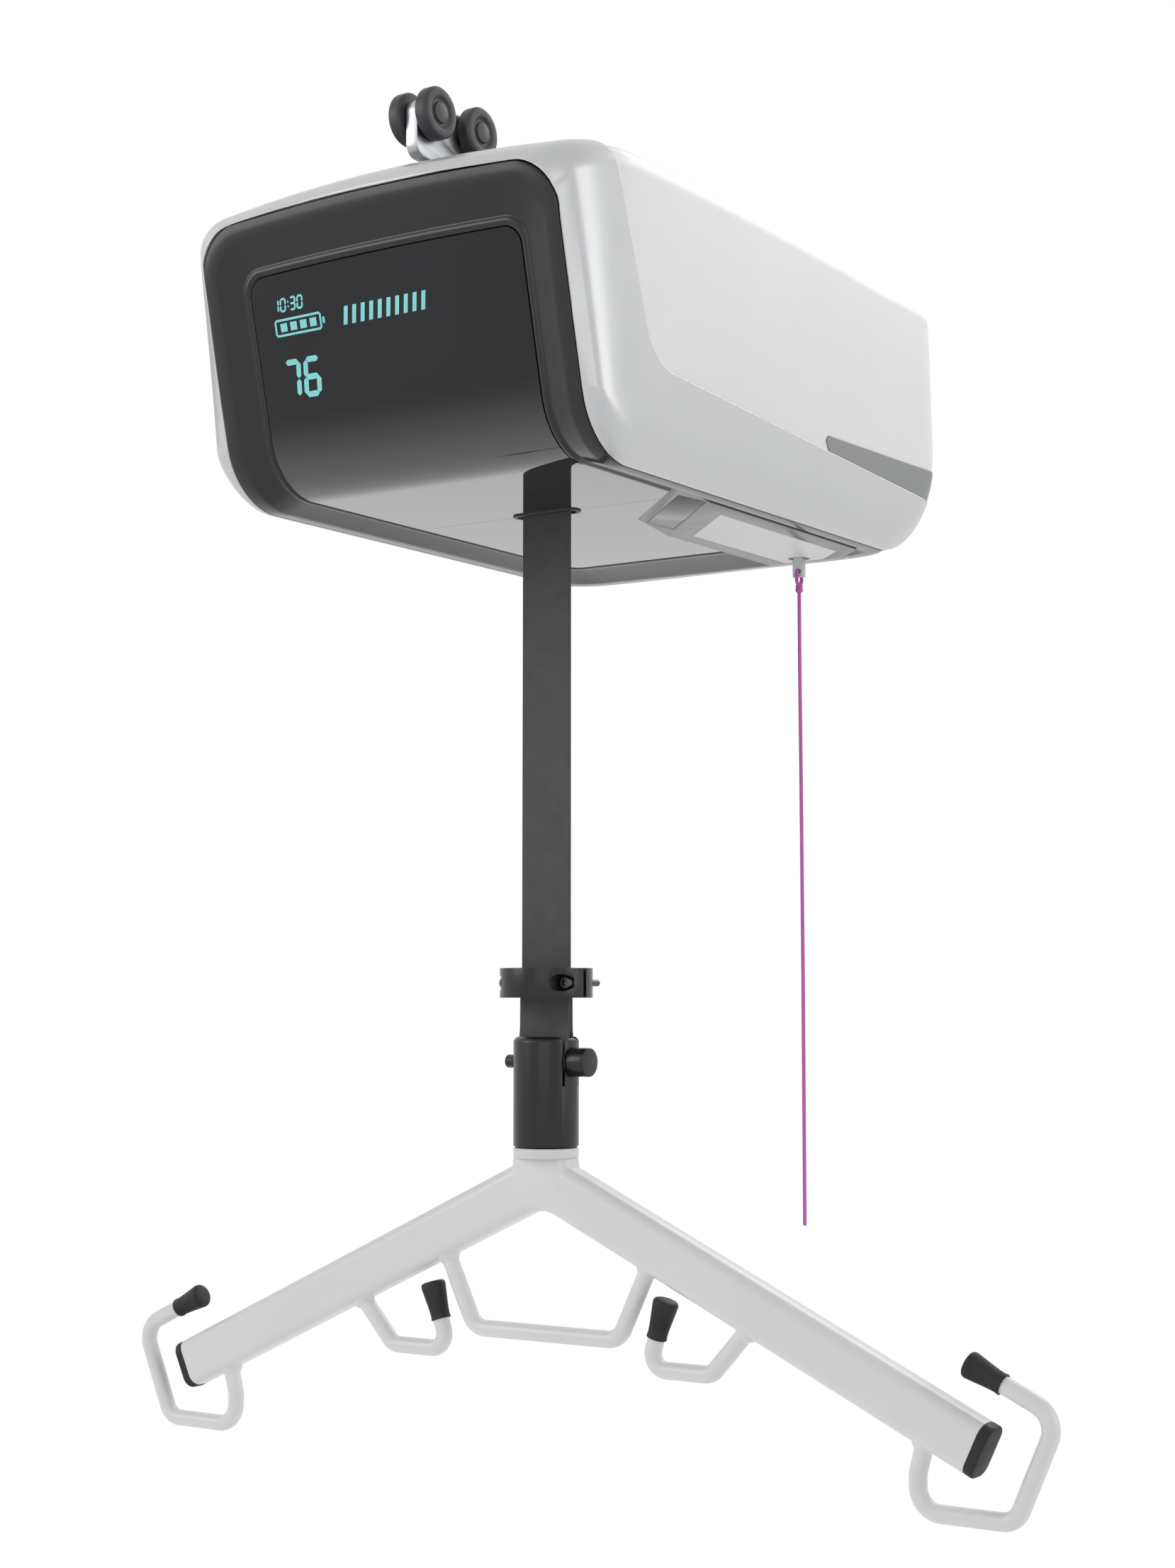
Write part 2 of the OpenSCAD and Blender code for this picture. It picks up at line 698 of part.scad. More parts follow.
module front_frame() {
  color(silver_c) difference() {
    housing_body(0);
    housing_body(shell_t);
    side_cut(seam_outline(0));
    face_opening(0);
  }
}
function hood_surface(x, y) = let (wt = half_w - tumble - top_corner[0])
  shoulder_z - arch(y) + top_crown * (1 - pow(x / wt, 2)) - hood_inset;
module each_hood_screw() {
  for (x = [-hood_screw_x, hood_screw_x], y = [-hood_screw_front, hood_screw_rear])
    translate([x, y, hood_surface(x, y)]) children();
}
module hood() {
  color(white_c) difference() {
    union() {
      difference() {
        housing_body(hood_inset);
        housing_body(hood_inset + shell_t);
      }
      for (x = [-hood_screw_x, hood_screw_x], y = [-hood_screw_front, hood_screw_rear])
        translate([x, y, plate_z]) cylinder(h = hood_surface(x, y) - shell_t / 2 - plate_z, d = hood_boss_d,
          $fn = fn_mid);
    }
    difference() {
      translate([0, (housing_rear - housing_front) / 2, bottom_z / 2 + crown_z])
        cube([2 * housing_w, 2 * housing_rear + 2 * housing_front, 2 * housing_h], center = true);
      side_cut(seam_outline(-gap));
    }
    side_cut(band_outline(gap));
    for (y = [-front_trolley_y, rear_trolley_y])
      translate([0, y, crown_z - housing_h / 2]) cylinder(h = housing_h, d = stem_d + 2 * stem_hole_gap,
        $fn = fn_fine);
    each_hood_screw() {
      translate([0, 0, -hood_boss_cut]) cylinder(h = 2 * hood_boss_cut, d = screw_d + gap, $fn = fn_small);
      translate([0, 0, -screw_sink]) cylinder(h = hood_boss_cut, d = screw_head_d + gap, $fn = fn_small);
    }
  }
}
module rear_band() {
  color(grey_c) difference() {
    intersection() {
      housing_body(hood_inset / 2);
      side_cut(band_outline(0));
      side_cut(seam_outline(-gap));
    }
    housing_body(hood_inset + shell_t);
  }
}

module panel_outline(grow) {
  offset(delta = grow) polygon([[panel_left, panel_gap_line - panel_left],
    [panel_right, panel_gap_line - panel_right], [panel_right, panel_rear - panel_rear_cut],
    [panel_right - panel_rear_cut, panel_rear], [panel_left, panel_rear]]);
}
module panel_prism(grow, low, high) {
  translate([0, 0, low]) linear_extrude(high - low) panel_outline(grow);
}
module slot_prism(w, l, low, high) {
  translate([0, 0, low]) linear_extrude(high - low) rounded_rect(w, l, l / 2 - run_gap);
}
module face_frame() {
  color(dark_c) difference() {
    face_ring();
    panel_prism(gap, bottom_z - over, bottom_z + face_cut_depth);
  }
}
module glass_sheet(v_low, v_high, r_low, r_high) {
  difference() {
    bent_sheet(sheet_rows(glass_half, v_low, v_high, r_low, r_high), -glass_recess, -glass_recess - glass_t);
    panel_prism(gap, bottom_z - over, bottom_z + face_cut_depth);
    slot_prism(guide_w - 2 * guide_lip + 2 * seat_gap, guide_l - 2 * guide_lip + 2 * seat_gap,
      bottom_z - over, bottom_z + face_cut_depth);
  }
}
module display_glass() {
  color(glass_c) glass_sheet(glass_v_top, -chin_y - gap / 2, glass_corner_r, 0);
}
module belly_glass() {
  color(glass_c) glass_sheet(-chin_y + gap / 2, glass_v_rear, 0, glass_corner_r);
}

module on_ramp() {
  ramp_rise = atan(glass_recess * diagonal / (panel_ramp_foot - panel_gap_line));
  translate([panel_ramp_foot / 2, panel_ramp_foot / 2, bottom_z]) rotate([0, 0, -quarter_turn / 2])
    rotate([-ramp_rise, 0, 0]) children();
}
module service_panel() {
  color(dark_c) difference() {
    panel_prism(0, bottom_z, bottom_z + panel_t);
    on_ramp() translate([-2 * panel_right, -2 * panel_right, -2 * panel_t])
      cube([4 * panel_right, 2 * panel_right, 2 * panel_t]);
    on_ramp() window_block(seat_gap, 2 * window_t);
    translate([0, 0, bottom_z - over]) linear_extrude(over + label_t) label_outline(seat_gap);
    translate([pull_x, pull_y, bottom_z - over]) cylinder(h = panel_t + 2 * over, d = pull_d + 2 * run_gap,
      $fn = fn_mid);
  }
}
module window_block(grow, depth) {
  translate([(window_low + window_high) / 2, -window_w / 2 - 2 * window_t, window_t - depth / 2])
    cube([window_high - window_low + 2 * grow, window_w + 2 * grow, depth], center = true);
}
module sensor_window() {
  color(glass_c) on_ramp() window_block(0, window_t);
}
module label_outline(grow) {
  offset(delta = grow) polygon([[label_left, label_front_line - label_left],
    [label_right, label_front_line - label_right], [label_right, label_rear - label_rear_cut],
    [label_right - label_rear_cut, label_rear], [label_left, label_rear]]);
}
module label_plate() {
  color(white_c) translate([0, 0, bottom_z]) linear_extrude(label_t) difference() {
    label_outline(0);
    translate([pull_x, pull_y]) circle(d = label_hole_d, $fn = fn_mid);
  }
}
module strap_guide() {
  color(black_c) difference() {
    union() {
      slot_prism(guide_w, guide_l, glass_z + glass_t, glass_z + glass_t + guide_lip);
      slot_prism(guide_w - 2 * guide_lip, guide_l - 2 * guide_lip, glass_z - over,
        glass_z + glass_t + guide_lip);
    }
    slot_prism(slot_w, slot_l, glass_z - 2 * over, glass_z + glass_t + guide_lip + over);
  }
}

// Chassis and what it carries
module chassis() {
  color(steel_c) difference() {
    union() {
      translate([-plate_w / 2, -plate_front, plate_z - chassis_t])
        cube([plate_w, plate_front + plate_rear, chassis_t]);
      for (side = [0, 1]) mirror([side, 0, 0])
        translate([cheek_x, -cheek_front, cheek_low_z])
          cube([chassis_t, cheek_front + cheek_rear, plate_z - chassis_t - cheek_low_z]);
    }
    for (y = [-front_trolley_y, rear_trolley_y])
      translate([0, y, plate_z - chassis_t - over]) cylinder(h = chassis_t + 2 * over,
        d = stem_d + 2 * bush_t + 2 * run_gap, $fn = fn_fine);
    translate([0, drum_y, drum_z]) along_x(-cheek_out - over, 2 * cheek_out + 2 * over,
      bearing_d + 2 * run_gap, fn_fine);
    translate([0, pinion_y, drum_z])
      along_x(cheek_x - over, chassis_t + 2 * over, pinion_shaft_d + 2 * run_gap);
    translate([0, roller_y, roller_z]) along_x(-cheek_out - over, 2 * cheek_out + 2 * over,
      roller_pin_d + 2 * run_gap);
    translate([0, cheek_window_y, drum_z]) rotate([quarter_turn, 0, quarter_turn])
      linear_extrude(2 * cheek_out + 2 * over, center = true)
        rounded_rect(cheek_window[0], cheek_window[1], cheek_window_r);
    for (x = [-hood_screw_x, hood_screw_x], y = [-hood_screw_front, hood_screw_rear])
      translate([x, y, plate_z - chassis_t - over]) cylinder(h = chassis_t + 2 * over,
        d = screw_d + 2 * run_gap, $fn = fn_small);
  }
}
module swivel_bushes() {
  color(steel_c) for (y = [-front_trolley_y, rear_trolley_y]) translate([0, y, plate_z]) difference() {
    union() {
      cylinder(h = bush_t, d = bush_flange_d, $fn = fn_fine);
      translate([0, 0, -chassis_t - bush_low]) cylinder(h = chassis_t + bush_low + bush_t,
        d = stem_d + 2 * bush_t, $fn = fn_fine);
    }
    translate([0, 0, -chassis_t - bush_low - over]) cylinder(h = chassis_t + bush_low + bush_t + 2 * over,
      d = stem_d + 2 * run_gap, $fn = fn_fine);
  }
}
module drum_bearings() {
  color(steel_c) for (side = [0, 1]) mirror([side, 0, 0]) translate([0, drum_y, drum_z]) difference() {
    union() {
      along_x(cheek_x, bearing_w, bearing_d, fn_fine);
      along_x(cheek_out, bearing_w - chassis_t, bearing_flange_d, fn_fine);
    }
    along_x(cheek_x - over, bearing_w + 2 * over, shaft_d + 2 * run_gap, fn_fine);
  }
}
module gearbox() {
  color(grey_c) difference() {
    union() {
      translate([motor_x, pinion_y, drum_z]) rotate([quarter_turn, 0, quarter_turn])
        linear_extrude(gearbox_size[0], center = true)
          rounded_rect(gearbox_size[1], gearbox_size[2], gearbox_corner);
      for (y = [0, gearbox_size[1] / 2 - gearbox_corner], side = [-1, 1])
        translate([0, pinion_y + y, drum_z + side * (gearbox_size[2] / 2 - gearbox_corner)])
          along_x(cheek_out, gearbox_x - cheek_out, post_d);
    }
    translate([0, pinion_y, drum_z])
      along_x(gearbox_x - over, pinion_shaft_d + over, pinion_shaft_d + 2 * run_gap);
  }
}
module motor() {
  start = pinion_y + gearbox_size[1] / 2;
  color(steel_c) translate([motor_x, start, drum_z]) rotate([-quarter_turn, 0, 0]) {
    cylinder(h = motor_l - motor_cap, d = motor_d - 2 * motor_rib, $fn = fn_fine);
    translate([0, 0, motor_l - motor_cap]) cylinder(h = motor_cap, d = motor_d, $fn = fn_fine);
    for (i = [0:motor_ribs - 1]) rotate([0, 0, full_turn * i / motor_ribs])
      translate([motor_d / 2 - motor_rib_h - over, -motor_rib / 2, 0])
        cube([motor_rib_h, motor_rib, motor_l - motor_cap]);
  }
}

module battery_tray() {
  color(steel_c) translate([-battery_x - tray_t, battery_front + battery_space, tray_z]) difference() {
    cube([battery_x + tray_t - cheek_out, battery[1] * 2 + battery_space + 2 * tray_t, tray_lip]);
    translate([tray_t, tray_t, tray_t])
      cube([battery_x - tray_t - cheek_out, battery[1] * 2 + battery_space, tray_lip]);
  }
}
module battery_packs() {
  color(black_c) for (i = [0, 1])
    translate([-battery_x + seat_gap,
      battery_front + tray_t + battery_space + seat_gap + i * (battery[1] + battery_space), tray_z + tray_t]) {
      cube([battery[0], battery[1] - 2 * seat_gap, battery[2]]);
      for (share = terminal_shares)
        translate([share * battery[0], battery[1] / 2, battery[2] - over])
          cylinder(h = terminal_d + over, d = terminal_d, $fn = fn_small);
    }
}
module control_board() {
  color(board_c) translate([cheek_out, board_y - board[1] / 2, board_low_z]) {
    translate([board_gap, 0, 0]) cube(board);
    for (y = [board_post, board[1] - board_post], z = [board_post, board[2] - board_post])
      translate([0, y, z]) along_x(0, board_gap + over, board_post, fn_small);
    for (share = chip_shares, high = chip_high_shares)
      translate([board_gap + board[0], share * board[1], high * board[2]]) cube([chip_t, chip_side, chip_side]);
    for (share = can_shares)
      translate([0, can_place_share * board[1], share * board[2]])
        along_x(board_gap + board[0], can_l, can_d, fn_small);
  }
}
module display_module() {
  color(black_c) translate(bent(0, display_mid_v, -glass_recess - glass_t - seat_gap - display[1] / 2))
    rotate([front_lean, 0, 0]) cube(display, center = true);
}
module roller_pin() {
  color(steel_c) translate([0, roller_y, roller_z]) {
    along_x(-cheek_out - over, 2 * cheek_out + 2 * over, roller_pin_d);
    for (side = [0, 1]) mirror([side, 0, 0]) along_x(cheek_out, roller_ring_t, roller_pin_d + roller_ring_t);
  }
}
module guide_roller() {
  color(white_c) translate([0, roller_y, roller_z]) difference() {
    along_x(-strap_w / 2 - roller_side, strap_w + 2 * roller_side, roller_d);
    along_x(-strap_w, 2 * strap_w, roller_pin_d + 2 * run_gap);
  }
}
module limit_switch() {
  color(black_c)
    translate([-switch_size[0] / 2, drum_y - switch_size[1] / 2, plate_z - chassis_t - switch_size[2]])
      cube(switch_size);
  color(steel_c) translate([0, drum_y, plate_z - chassis_t - switch_size[2] - switch_lever])
    cylinder(h = switch_lever + over, d = switch_lever, $fn = fn_small);
}
module pull_switch() {
  color(black_c) translate([pull_x, pull_y, bottom_z + panel_t]) difference() {
    translate([-pull_switch_size[0] / 2, -pull_switch_size[1] / 2, 0]) cube(pull_switch_size);
    translate([0, 0, -over]) cylinder(h = pull_switch_size[2] - pull_switch_roof + over, d = pull_switch_bore,
      $fn = fn_mid);
  }
}
module hood_screws() {
  color(steel_c) for (x = [-hood_screw_x, hood_screw_x], y = [-hood_screw_front, hood_screw_rear]) {
    seat = hood_surface(x, y) - screw_sink;
    translate([x, y, seat]) cylinder(h = screw_head_h, d = screw_head_d, $fn = fn_small);
    translate([x, y, plate_z - chassis_t - over])
      cylinder(h = seat - plate_z + chassis_t + 2 * over, d = screw_d, $fn = fn_small);
  }
}

// Drum and gears
module drum() {
  color(white_c) translate([0, drum_y, drum_z]) difference() {
    union() {
      along_x(-drum_half, 2 * drum_half, 2 * drum_core_r, fn_fine);
      for (side = [0, 1]) mirror([side, 0, 0])
        along_x(drum_half - drum_flange_t, drum_flange_t, 2 * drum_flange_r, fn_fine);
      along_x(-cheek_x + over, 2 * cheek_x - 2 * over, shaft_d + 2 * drum_boss_t, fn_fine);
    }
    along_x(-cheek_x, 2 * cheek_x, shaft_d + 2 * run_gap, fn_fine);
    for (i = [0:drum_holes - 1]) rotate([full_turn * i / drum_holes, 0, 0])
      translate([0, 0, (drum_core_r + drum_flange_r) / 2])
        along_x(-drum_half - over, drum_flange_t + 2 * over, drum_hole_d);
  }
}
module drum_shaft() {
  color(steel_c) translate([0, drum_y, drum_z])
    along_x(-cheek_x - bearing_w - shaft_over,
      2 * cheek_x + 2 * bearing_w + 2 * shaft_over + gear_w, shaft_d, fn_fine);
}
function tooth_half(r, teeth) = let (
    base = gear_module * teeth * cos(pressure_angle) / 2,
    a = acos(min(1, base / r)) )
  quarter_turn / teeth - gear_slack / (gear_module * teeth) * radian
    + tan(pressure_angle) * radian - pressure_angle - tan(a) * radian + a;
function gear_points(teeth) = let (
    pitch = gear_module * teeth / 2,
    radii = [pitch - gear_ded_share * gear_module, pitch - gear_module / 2, pitch, pitch + gear_module / 2,
      pitch + gear_add_share * gear_module] )
  [for (i = [0:teeth - 1]) each concat(
    [for (r = radii) r * unit(full_turn * i / teeth - tooth_half(r, teeth))],
    [for (j = [len(radii) - 1:-1:0]) radii[j] * unit(full_turn * i / teeth + tooth_half(radii[j], teeth))])];
module gear(teeth) {
  rotate([quarter_turn, 0, quarter_turn]) linear_extrude(gear_w) polygon(gear_points(teeth));
}
module drum_gear() {
  color(steel_c) translate([gear_x, drum_y, drum_z]) difference() {
    gear(drum_teeth);
    along_x(-over, gear_w + 2 * over, shaft_d + 2 * run_gap, fn_fine);
    for (i = [0:drum_holes - 1]) rotate([full_turn * i / drum_holes, 0, 0])
      translate([0, 0, gear_hole_r]) along_x(-over, gear_w + 2 * over, drum_hole_d);
  }
}
module pinion() {
  color(steel_c) translate([0, pinion_y, drum_z]) {
    translate([gear_x, 0, 0]) gear(pinion_teeth);
    along_x(cheek_x - over, gearbox_x + pinion_shaft_d - 2 * over - cheek_x, pinion_shaft_d);
  }
}
module strap_roll() {
  color(web_c) translate([0, drum_y, drum_z]) difference() {
    along_x(-strap_w / 2, strap_w, 2 * roll_r, fn_fine);
    along_x(-strap_w, 2 * strap_w, 2 * drum_core_r + 2 * run_gap, fn_fine);
  }
}

// Trolleys
module trolley(y) {
  color(steel_c) translate([0, y, 0]) difference() {
    union() {
      translate([0, 0, (neck_h + neck_low_z) / 2]) rotate([quarter_turn, 0, quarter_turn])
        linear_extrude(neck_t, center = true) rounded_rect(neck_l, neck_h - neck_low_z, axle_d);
      translate([0, 0, plate_z - chassis_t - bush_low])
        cylinder(h = neck_low_z - plate_z + chassis_t + bush_low + over, d = stem_d, $fn = fn_fine);
      translate([0, 0, plate_z - chassis_t - bush_low - thread_l])
        cylinder(h = thread_l + over, d = thread_d, $fn = fn_fine);
    }
    for (a = [-1, 1]) translate([0, a * axle_pitch / 2, wheel_z])
      along_x(-neck_t, 2 * neck_t, axle_d + 2 * run_gap);
  }
}
module swivel_nut(y) {
  color(steel_c) translate([0, y, plate_z - chassis_t - bush_low - gap - nut_h]) difference() {
    cylinder(h = nut_h, d = nut_d, $fn = nut_sides);
    translate([0, 0, -over]) cylinder(h = nut_h + 2 * over, d = thread_d + 2 * run_gap, $fn = fn_fine);
  }
}
module wheelset(y) {
  inner = neck_t / 2 + wheel_side;
  color(black_c) translate([0, y, wheel_z]) {
    for (side = [0, 1]) mirror([side, 0, 0]) rotate([0, quarter_turn, 0]) rotate_extrude($fn = fn_fine)
      polygon([[0, inner], [wheel_d / 2 - wheel_dish, inner], [wheel_d / 2, inner + wheel_dish],
        [wheel_d / 2, inner + wheel_w - wheel_dish], [wheel_d / 2 - wheel_dish, inner + wheel_w],
        [wheel_hub_d / 2 + wheel_dish, inner + wheel_w], [wheel_hub_d / 2, inner + wheel_w - wheel_dish],
        [axle_head_d / 2, inner + wheel_w - wheel_dish], [axle_head_d / 2, inner + wheel_w],
        [0, inner + wheel_w]]);
    along_x(-inner - over, 2 * inner + 2 * over, axle_d);
  }
}
module front_trolley() {
  trolley(-front_trolley_y);
}
module rear_trolley() {
  trolley(rear_trolley_y);
}
module front_swivel_nut() {
  swivel_nut(-front_trolley_y);
}
module rear_swivel_nut() {
  swivel_nut(rear_trolley_y);
}
module front_wheelset_a() {
  wheelset(-front_trolley_y - axle_pitch / 2);
}
module front_wheelset_b() {
  wheelset(-front_trolley_y + axle_pitch / 2);
}
module rear_wheelset_a() {
  wheelset(rear_trolley_y - axle_pitch / 2);
}
module rear_wheelset_b() {
  wheelset(rear_trolley_y + axle_pitch / 2);
}

// Strap and its end
module strap_run() {
  color(web_c) translate([-strap_w / 2, -strap_t / 2, clamp_top_z])
    cube([strap_w, strap_t, drum_z - clamp_top_z]);
}
module strap_tail() {
  color(web_c) difference() {
    union() {
      rotate([quarter_turn, 0, quarter_turn]) linear_extrude(tail_w, center = true)
        polygon([[-tail_t / 2, clamp_top_z], [-tail_t / 2, barrel_top_z], [-pin_d / 2 - strap_t, pin_z],
          [pin_d / 2 + strap_t, pin_z], [tail_t / 2, barrel_top_z], [tail_t / 2, clamp_top_z]]);
      translate([0, 0, pin_z]) along_x(-tail_w / 2, tail_w, pin_d + 2 * strap_t, fn_fine);
    }
    translate([0, 0, pin_z]) along_x(-tail_w, 2 * tail_w, pin_d + 2 * run_gap, fn_fine);
  }
}
module clamp_half(side) {
  translate([0, 0, clamp_low_z]) difference() {
    cylinder(h = clamp_h, d = clamp_d, $fn = fn_fine);
    translate([-clamp_d, side > 0 ? -clamp_d : -clamp_split / 2, -over])
      cube([2 * clamp_d, clamp_d + clamp_split / 2, clamp_h + 2 * over]);
    translate([-tail_w / 2 - seat_gap, -tail_t / 2 - run_gap, -over])
      cube([tail_w + 2 * seat_gap, tail_t + 2 * run_gap, clamp_h + 2 * over]);
    for (x = [-clamp_screw_x, clamp_screw_x]) translate([x, 0, clamp_h / 2]) rotate([quarter_turn, 0, 0]) {
      cylinder(h = 2 * clamp_d, d = clamp_screw_d + 2 * run_gap, center = true, $fn = fn_small);
      translate([0, 0, clamp_bore_y]) cylinder(h = clamp_d, d = clamp_bore_d, $fn = fn_mid);
    }
  }
}
module clamp_front() {
  color(black_c) clamp_half(-1);
}
module clamp_rear() {
  color(black_c) clamp_half(1);
}
module clamp_screws() {
  color(steel_c) for (x = [-clamp_screw_x, clamp_screw_x]) translate([x, 0, clamp_low_z + clamp_h / 2])
    rotate([quarter_turn, 0, 0]) {
      translate([0, 0, clamp_bore_y]) cylinder(h = clamp_head_h, d = clamp_head_d, $fn = fn_mid);
      translate([0, 0, -clamp_d / 2 + clamp_tail_in])
        cylinder(h = clamp_bore_y + clamp_d / 2 - clamp_tail_in, d = clamp_screw_d, $fn = fn_small);
    }
}
module barrel() {
  color(black_c) difference() {
    translate([0, 0, barrel_low_z]) rotate_extrude($fn = fn_fine)
      polygon(concat([[0, 0], [barrel_d / 2 - over, 0], [barrel_d / 2, over]],
        [for (i = [0:seam_steps]) [barrel_d / 2 - barrel_round, barrel_h - barrel_round]
          + barrel_round * unit(quarter_turn * i / seam_steps)],
        [[0, barrel_h]]));
    translate([-tail_w / 2 - seat_gap, -barrel_slot_t / 2, barrel_slot_low])
      cube([tail_w + 2 * seat_gap, barrel_slot_t, barrel_h]);
    translate([0, 0, pin_z]) along_x(-barrel_d, 2 * barrel_d, pin_d + 2 * run_gap);
    translate([0, 0, barrel_low_z + web_h]) cylinder(h = barrel_slot_low - barrel_low_z - web_h + over,
      d = bolt_pocket_d, $fn = fn_fine);
    translate([0, 0, barrel_low_z - over]) cylinder(h = barrel_h, d = bolt_d + 2 * run_gap, $fn = fn_fine);
  }
}
module cross_pin() {
  color(black_c) translate([0, 0, pin_z]) {
    along_x(-barrel_d / 2 - pin_end_l, barrel_d + pin_end_l, pin_d);
    along_x(barrel_d / 2, pin_head_l, pin_head_d);
  }
}
module swivel_collar() {
  color(white_c) translate([0, 0, collar_low_z]) difference() {
    cylinder(h = collar_h, d = barrel_d, $fn = fn_fine);
    translate([0, 0, -over]) cylinder(h = collar_h + 2 * over, d = bolt_d + 2 * run_gap, $fn = fn_fine);
  }
}
module swivel_bolt() {
  color(steel_c) {
    translate([0, 0, barrel_low_z + web_h + gap]) cylinder(h = bolt_head_h, d = bolt_head_d, $fn = fn_fine);
    translate([0, 0, arm_z]) cylinder(h = barrel_low_z + web_h + gap - arm_z + over, d = bolt_d, $fn = fn_fine);
  }
}

// Spreader bar
module arm_bar(l, inner, start = 0) {
  translate([0, 0, arm_z]) rotate([0, quarter_turn + arm_drop, 0]) translate([0, 0, start])
    linear_extrude(l - start) rounded_rect(arm_h - 2 * inner, arm_t - 2 * inner, arm_r - inner);
}
module beyond(x) {
  translate([x, -2 * arm_t, arm_z - arm_l]) cube([2 * arm_l, 4 * arm_t, 2 * arm_l]);
}
module bar_hub() {
  color(white_c) difference() {
    union() {
      for (side = [0, 1]) mirror([side, 0, 0]) difference() {
        arm_bar(hub_w, 0);
        beyond(hub_w / 2);
      }
      translate([0, 0, arm_z]) linear_extrude(hub_top_z - arm_z) rounded_rect(hub_w, arm_t, arm_r);
      translate([0, 0, arm_z - arm_h / 2 / arm_c]) rotate([quarter_turn, 0, 0])
        linear_extrude(arm_t - arm_r, center = true) polygon(crotch_points());
    }
    translate([0, 0, arm_z]) cylinder(h = arm_h, d = bolt_d + 2 * run_gap, $fn = fn_fine);
    translate([-hub_w, -hub_w, hub_top_z]) cube([2 * hub_w, 2 * hub_w, hub_w]);
  }
}
// Fills the inner corner under the hub with an arc that runs into both arms
function crotch_points() = let (apex = -crotch_r / arm_c)
  concat([[0, over]], [for (i = [0:seam_steps])
    [0, apex] + crotch_r * unit(quarter_turn + arm_drop - 2 * arm_drop * i / seam_steps)]);
function rod_root_z(x) = x * arm_slope + arm_h / 2 / arm_c;
function rod_point(across, root, down) = [across * arm_l, -rod_root_z(root * arm_l) - down * arm_l];
function loop_path() = let (top = rod_point(loop_top_share, loop_top_share, 0),
    low = rod_point(loop_low_share, loop_top_share, loop_drop_share) )
  [top, low, [-low[0], low[1]], [-top[0], top[1]]];
function inner_path() = let (low = rod_point(inner_in_share, inner_root_share, inner_drop_share),
    rise = inner_rise_share * arm_l )
  [rod_point(inner_root_share, inner_root_share, 0),
    rod_point(inner_out_share, inner_root_share, inner_drop_share),
    low, low + [rise * tan(inner_tip_lean), rise]];
function outer_path() = let (low = rod_point(outer_in_share, outer_root_share, outer_drop_share),
    high = rod_point(outer_far_share, outer_root_share, -outer_high_share),
    back = outer_back_share * arm_l )
  [rod_point(outer_root_share, outer_root_share, 0), low + [0, outer_r[0]], low,
    rod_point(outer_out_share, outer_root_share, outer_drop_share), high, high + [-back, back * arm_slope]];
function lengthen(p, q, l) = p + (p - q) / norm(p - q) * l;
function rooted(path) = concat([lengthen(path[0], path[1], root_in)], [for (i = [1:len(path) - 1]) path[i]]);
// Both ends of a closed loop reach into the arms
function both_rooted(path) = let (a = rooted(path)) concat([for (i = [0:len(a) - 2]) a[i]],
  [lengthen(path[len(path) - 1], path[len(path) - 2], root_in)]);

// A bent rod in the plane of the bar: its path runs straight between arcs of the named radii
function bend_points(path, radii, i) = let (
    deg = dir_deg(path[i - 1], path[i]),
    turn = turn_of(deg, dir_deg(path[i], path[i + 1])),
    hand = sign(turn),
    r = radii[i - 1],
    first = path[i] - r * tan(abs(turn) / 2) * unit(deg),
    centre = first + hand * r * unit(deg + quarter_turn) )
  [for (k = [0:bend_steps]) centre + r * unit(deg - hand * quarter_turn + turn * k / bend_steps)];
function rod_points(path, radii) = let (flat = concat([path[0]],
    [for (i = [1:len(path) - 2]) each bend_points(path, radii, i)], [path[len(path) - 1]]) )
  [for (p = flat) [p[0], 0, arm_z + p[1]]];
module bent_rod(path, radii) {
  tube(rod_points(path, radii), rod_d, [0, 1, 0], rod_sides);
}

module rod_roots() {
  for (path = [outer_path(), inner_path(), loop_path()]) let (a = rooted(path), deg = dir_deg(a[1], a[0]))
    translate([0, 0, arm_z]) rotate([quarter_turn, 0, 0]) translate(path[0] - root_in * unit(deg))
      rotate([0, quarter_turn, deg]) cylinder(h = 2 * root_in, d = rod_d + 2 * run_gap, $fn = fn_mid);
}
module arm() {
  difference() {
    arm_bar(arm_l, 0);
    difference() {
      arm_bar(arm_l + over, arm_wall);
      beyond(-2 * arm_l + hub_w / 2 + arm_wall);
    }
    beyond(hub_w / 2 - 2 * arm_l);
    rod_roots();
  }
}
module arm_right() {
  color(white_c) arm();
}
module arm_left() {
  color(white_c) mirror([1, 0, 0]) arm();
}
module centre_loop() {
  color(white_c) bent_rod(both_rooted(loop_path()), [loop_r, loop_r]);
}
module outer_hook() {
  bent_rod(rooted(outer_path()), outer_r);
}
module inner_hook() {
  bent_rod(rooted(inner_path()), inner_r);
}
module outer_hook_right() {
  color(white_c) outer_hook();
}
module outer_hook_left() {
  color(white_c) mirror([1, 0, 0]) outer_hook();
}
module inner_hook_right() {
  color(white_c) inner_hook();
}
module inner_hook_left() {
  color(white_c) mirror([1, 0, 0]) inner_hook();
}
module end_caps() {
  color(black_c) for (side = [0, 1]) mirror([side, 0, 0]) {
    arm_bar(arm_l + cap_t, 0, arm_l);
    arm_bar(arm_l + over, arm_wall + run_gap, arm_l - cap_plug);
  }
}
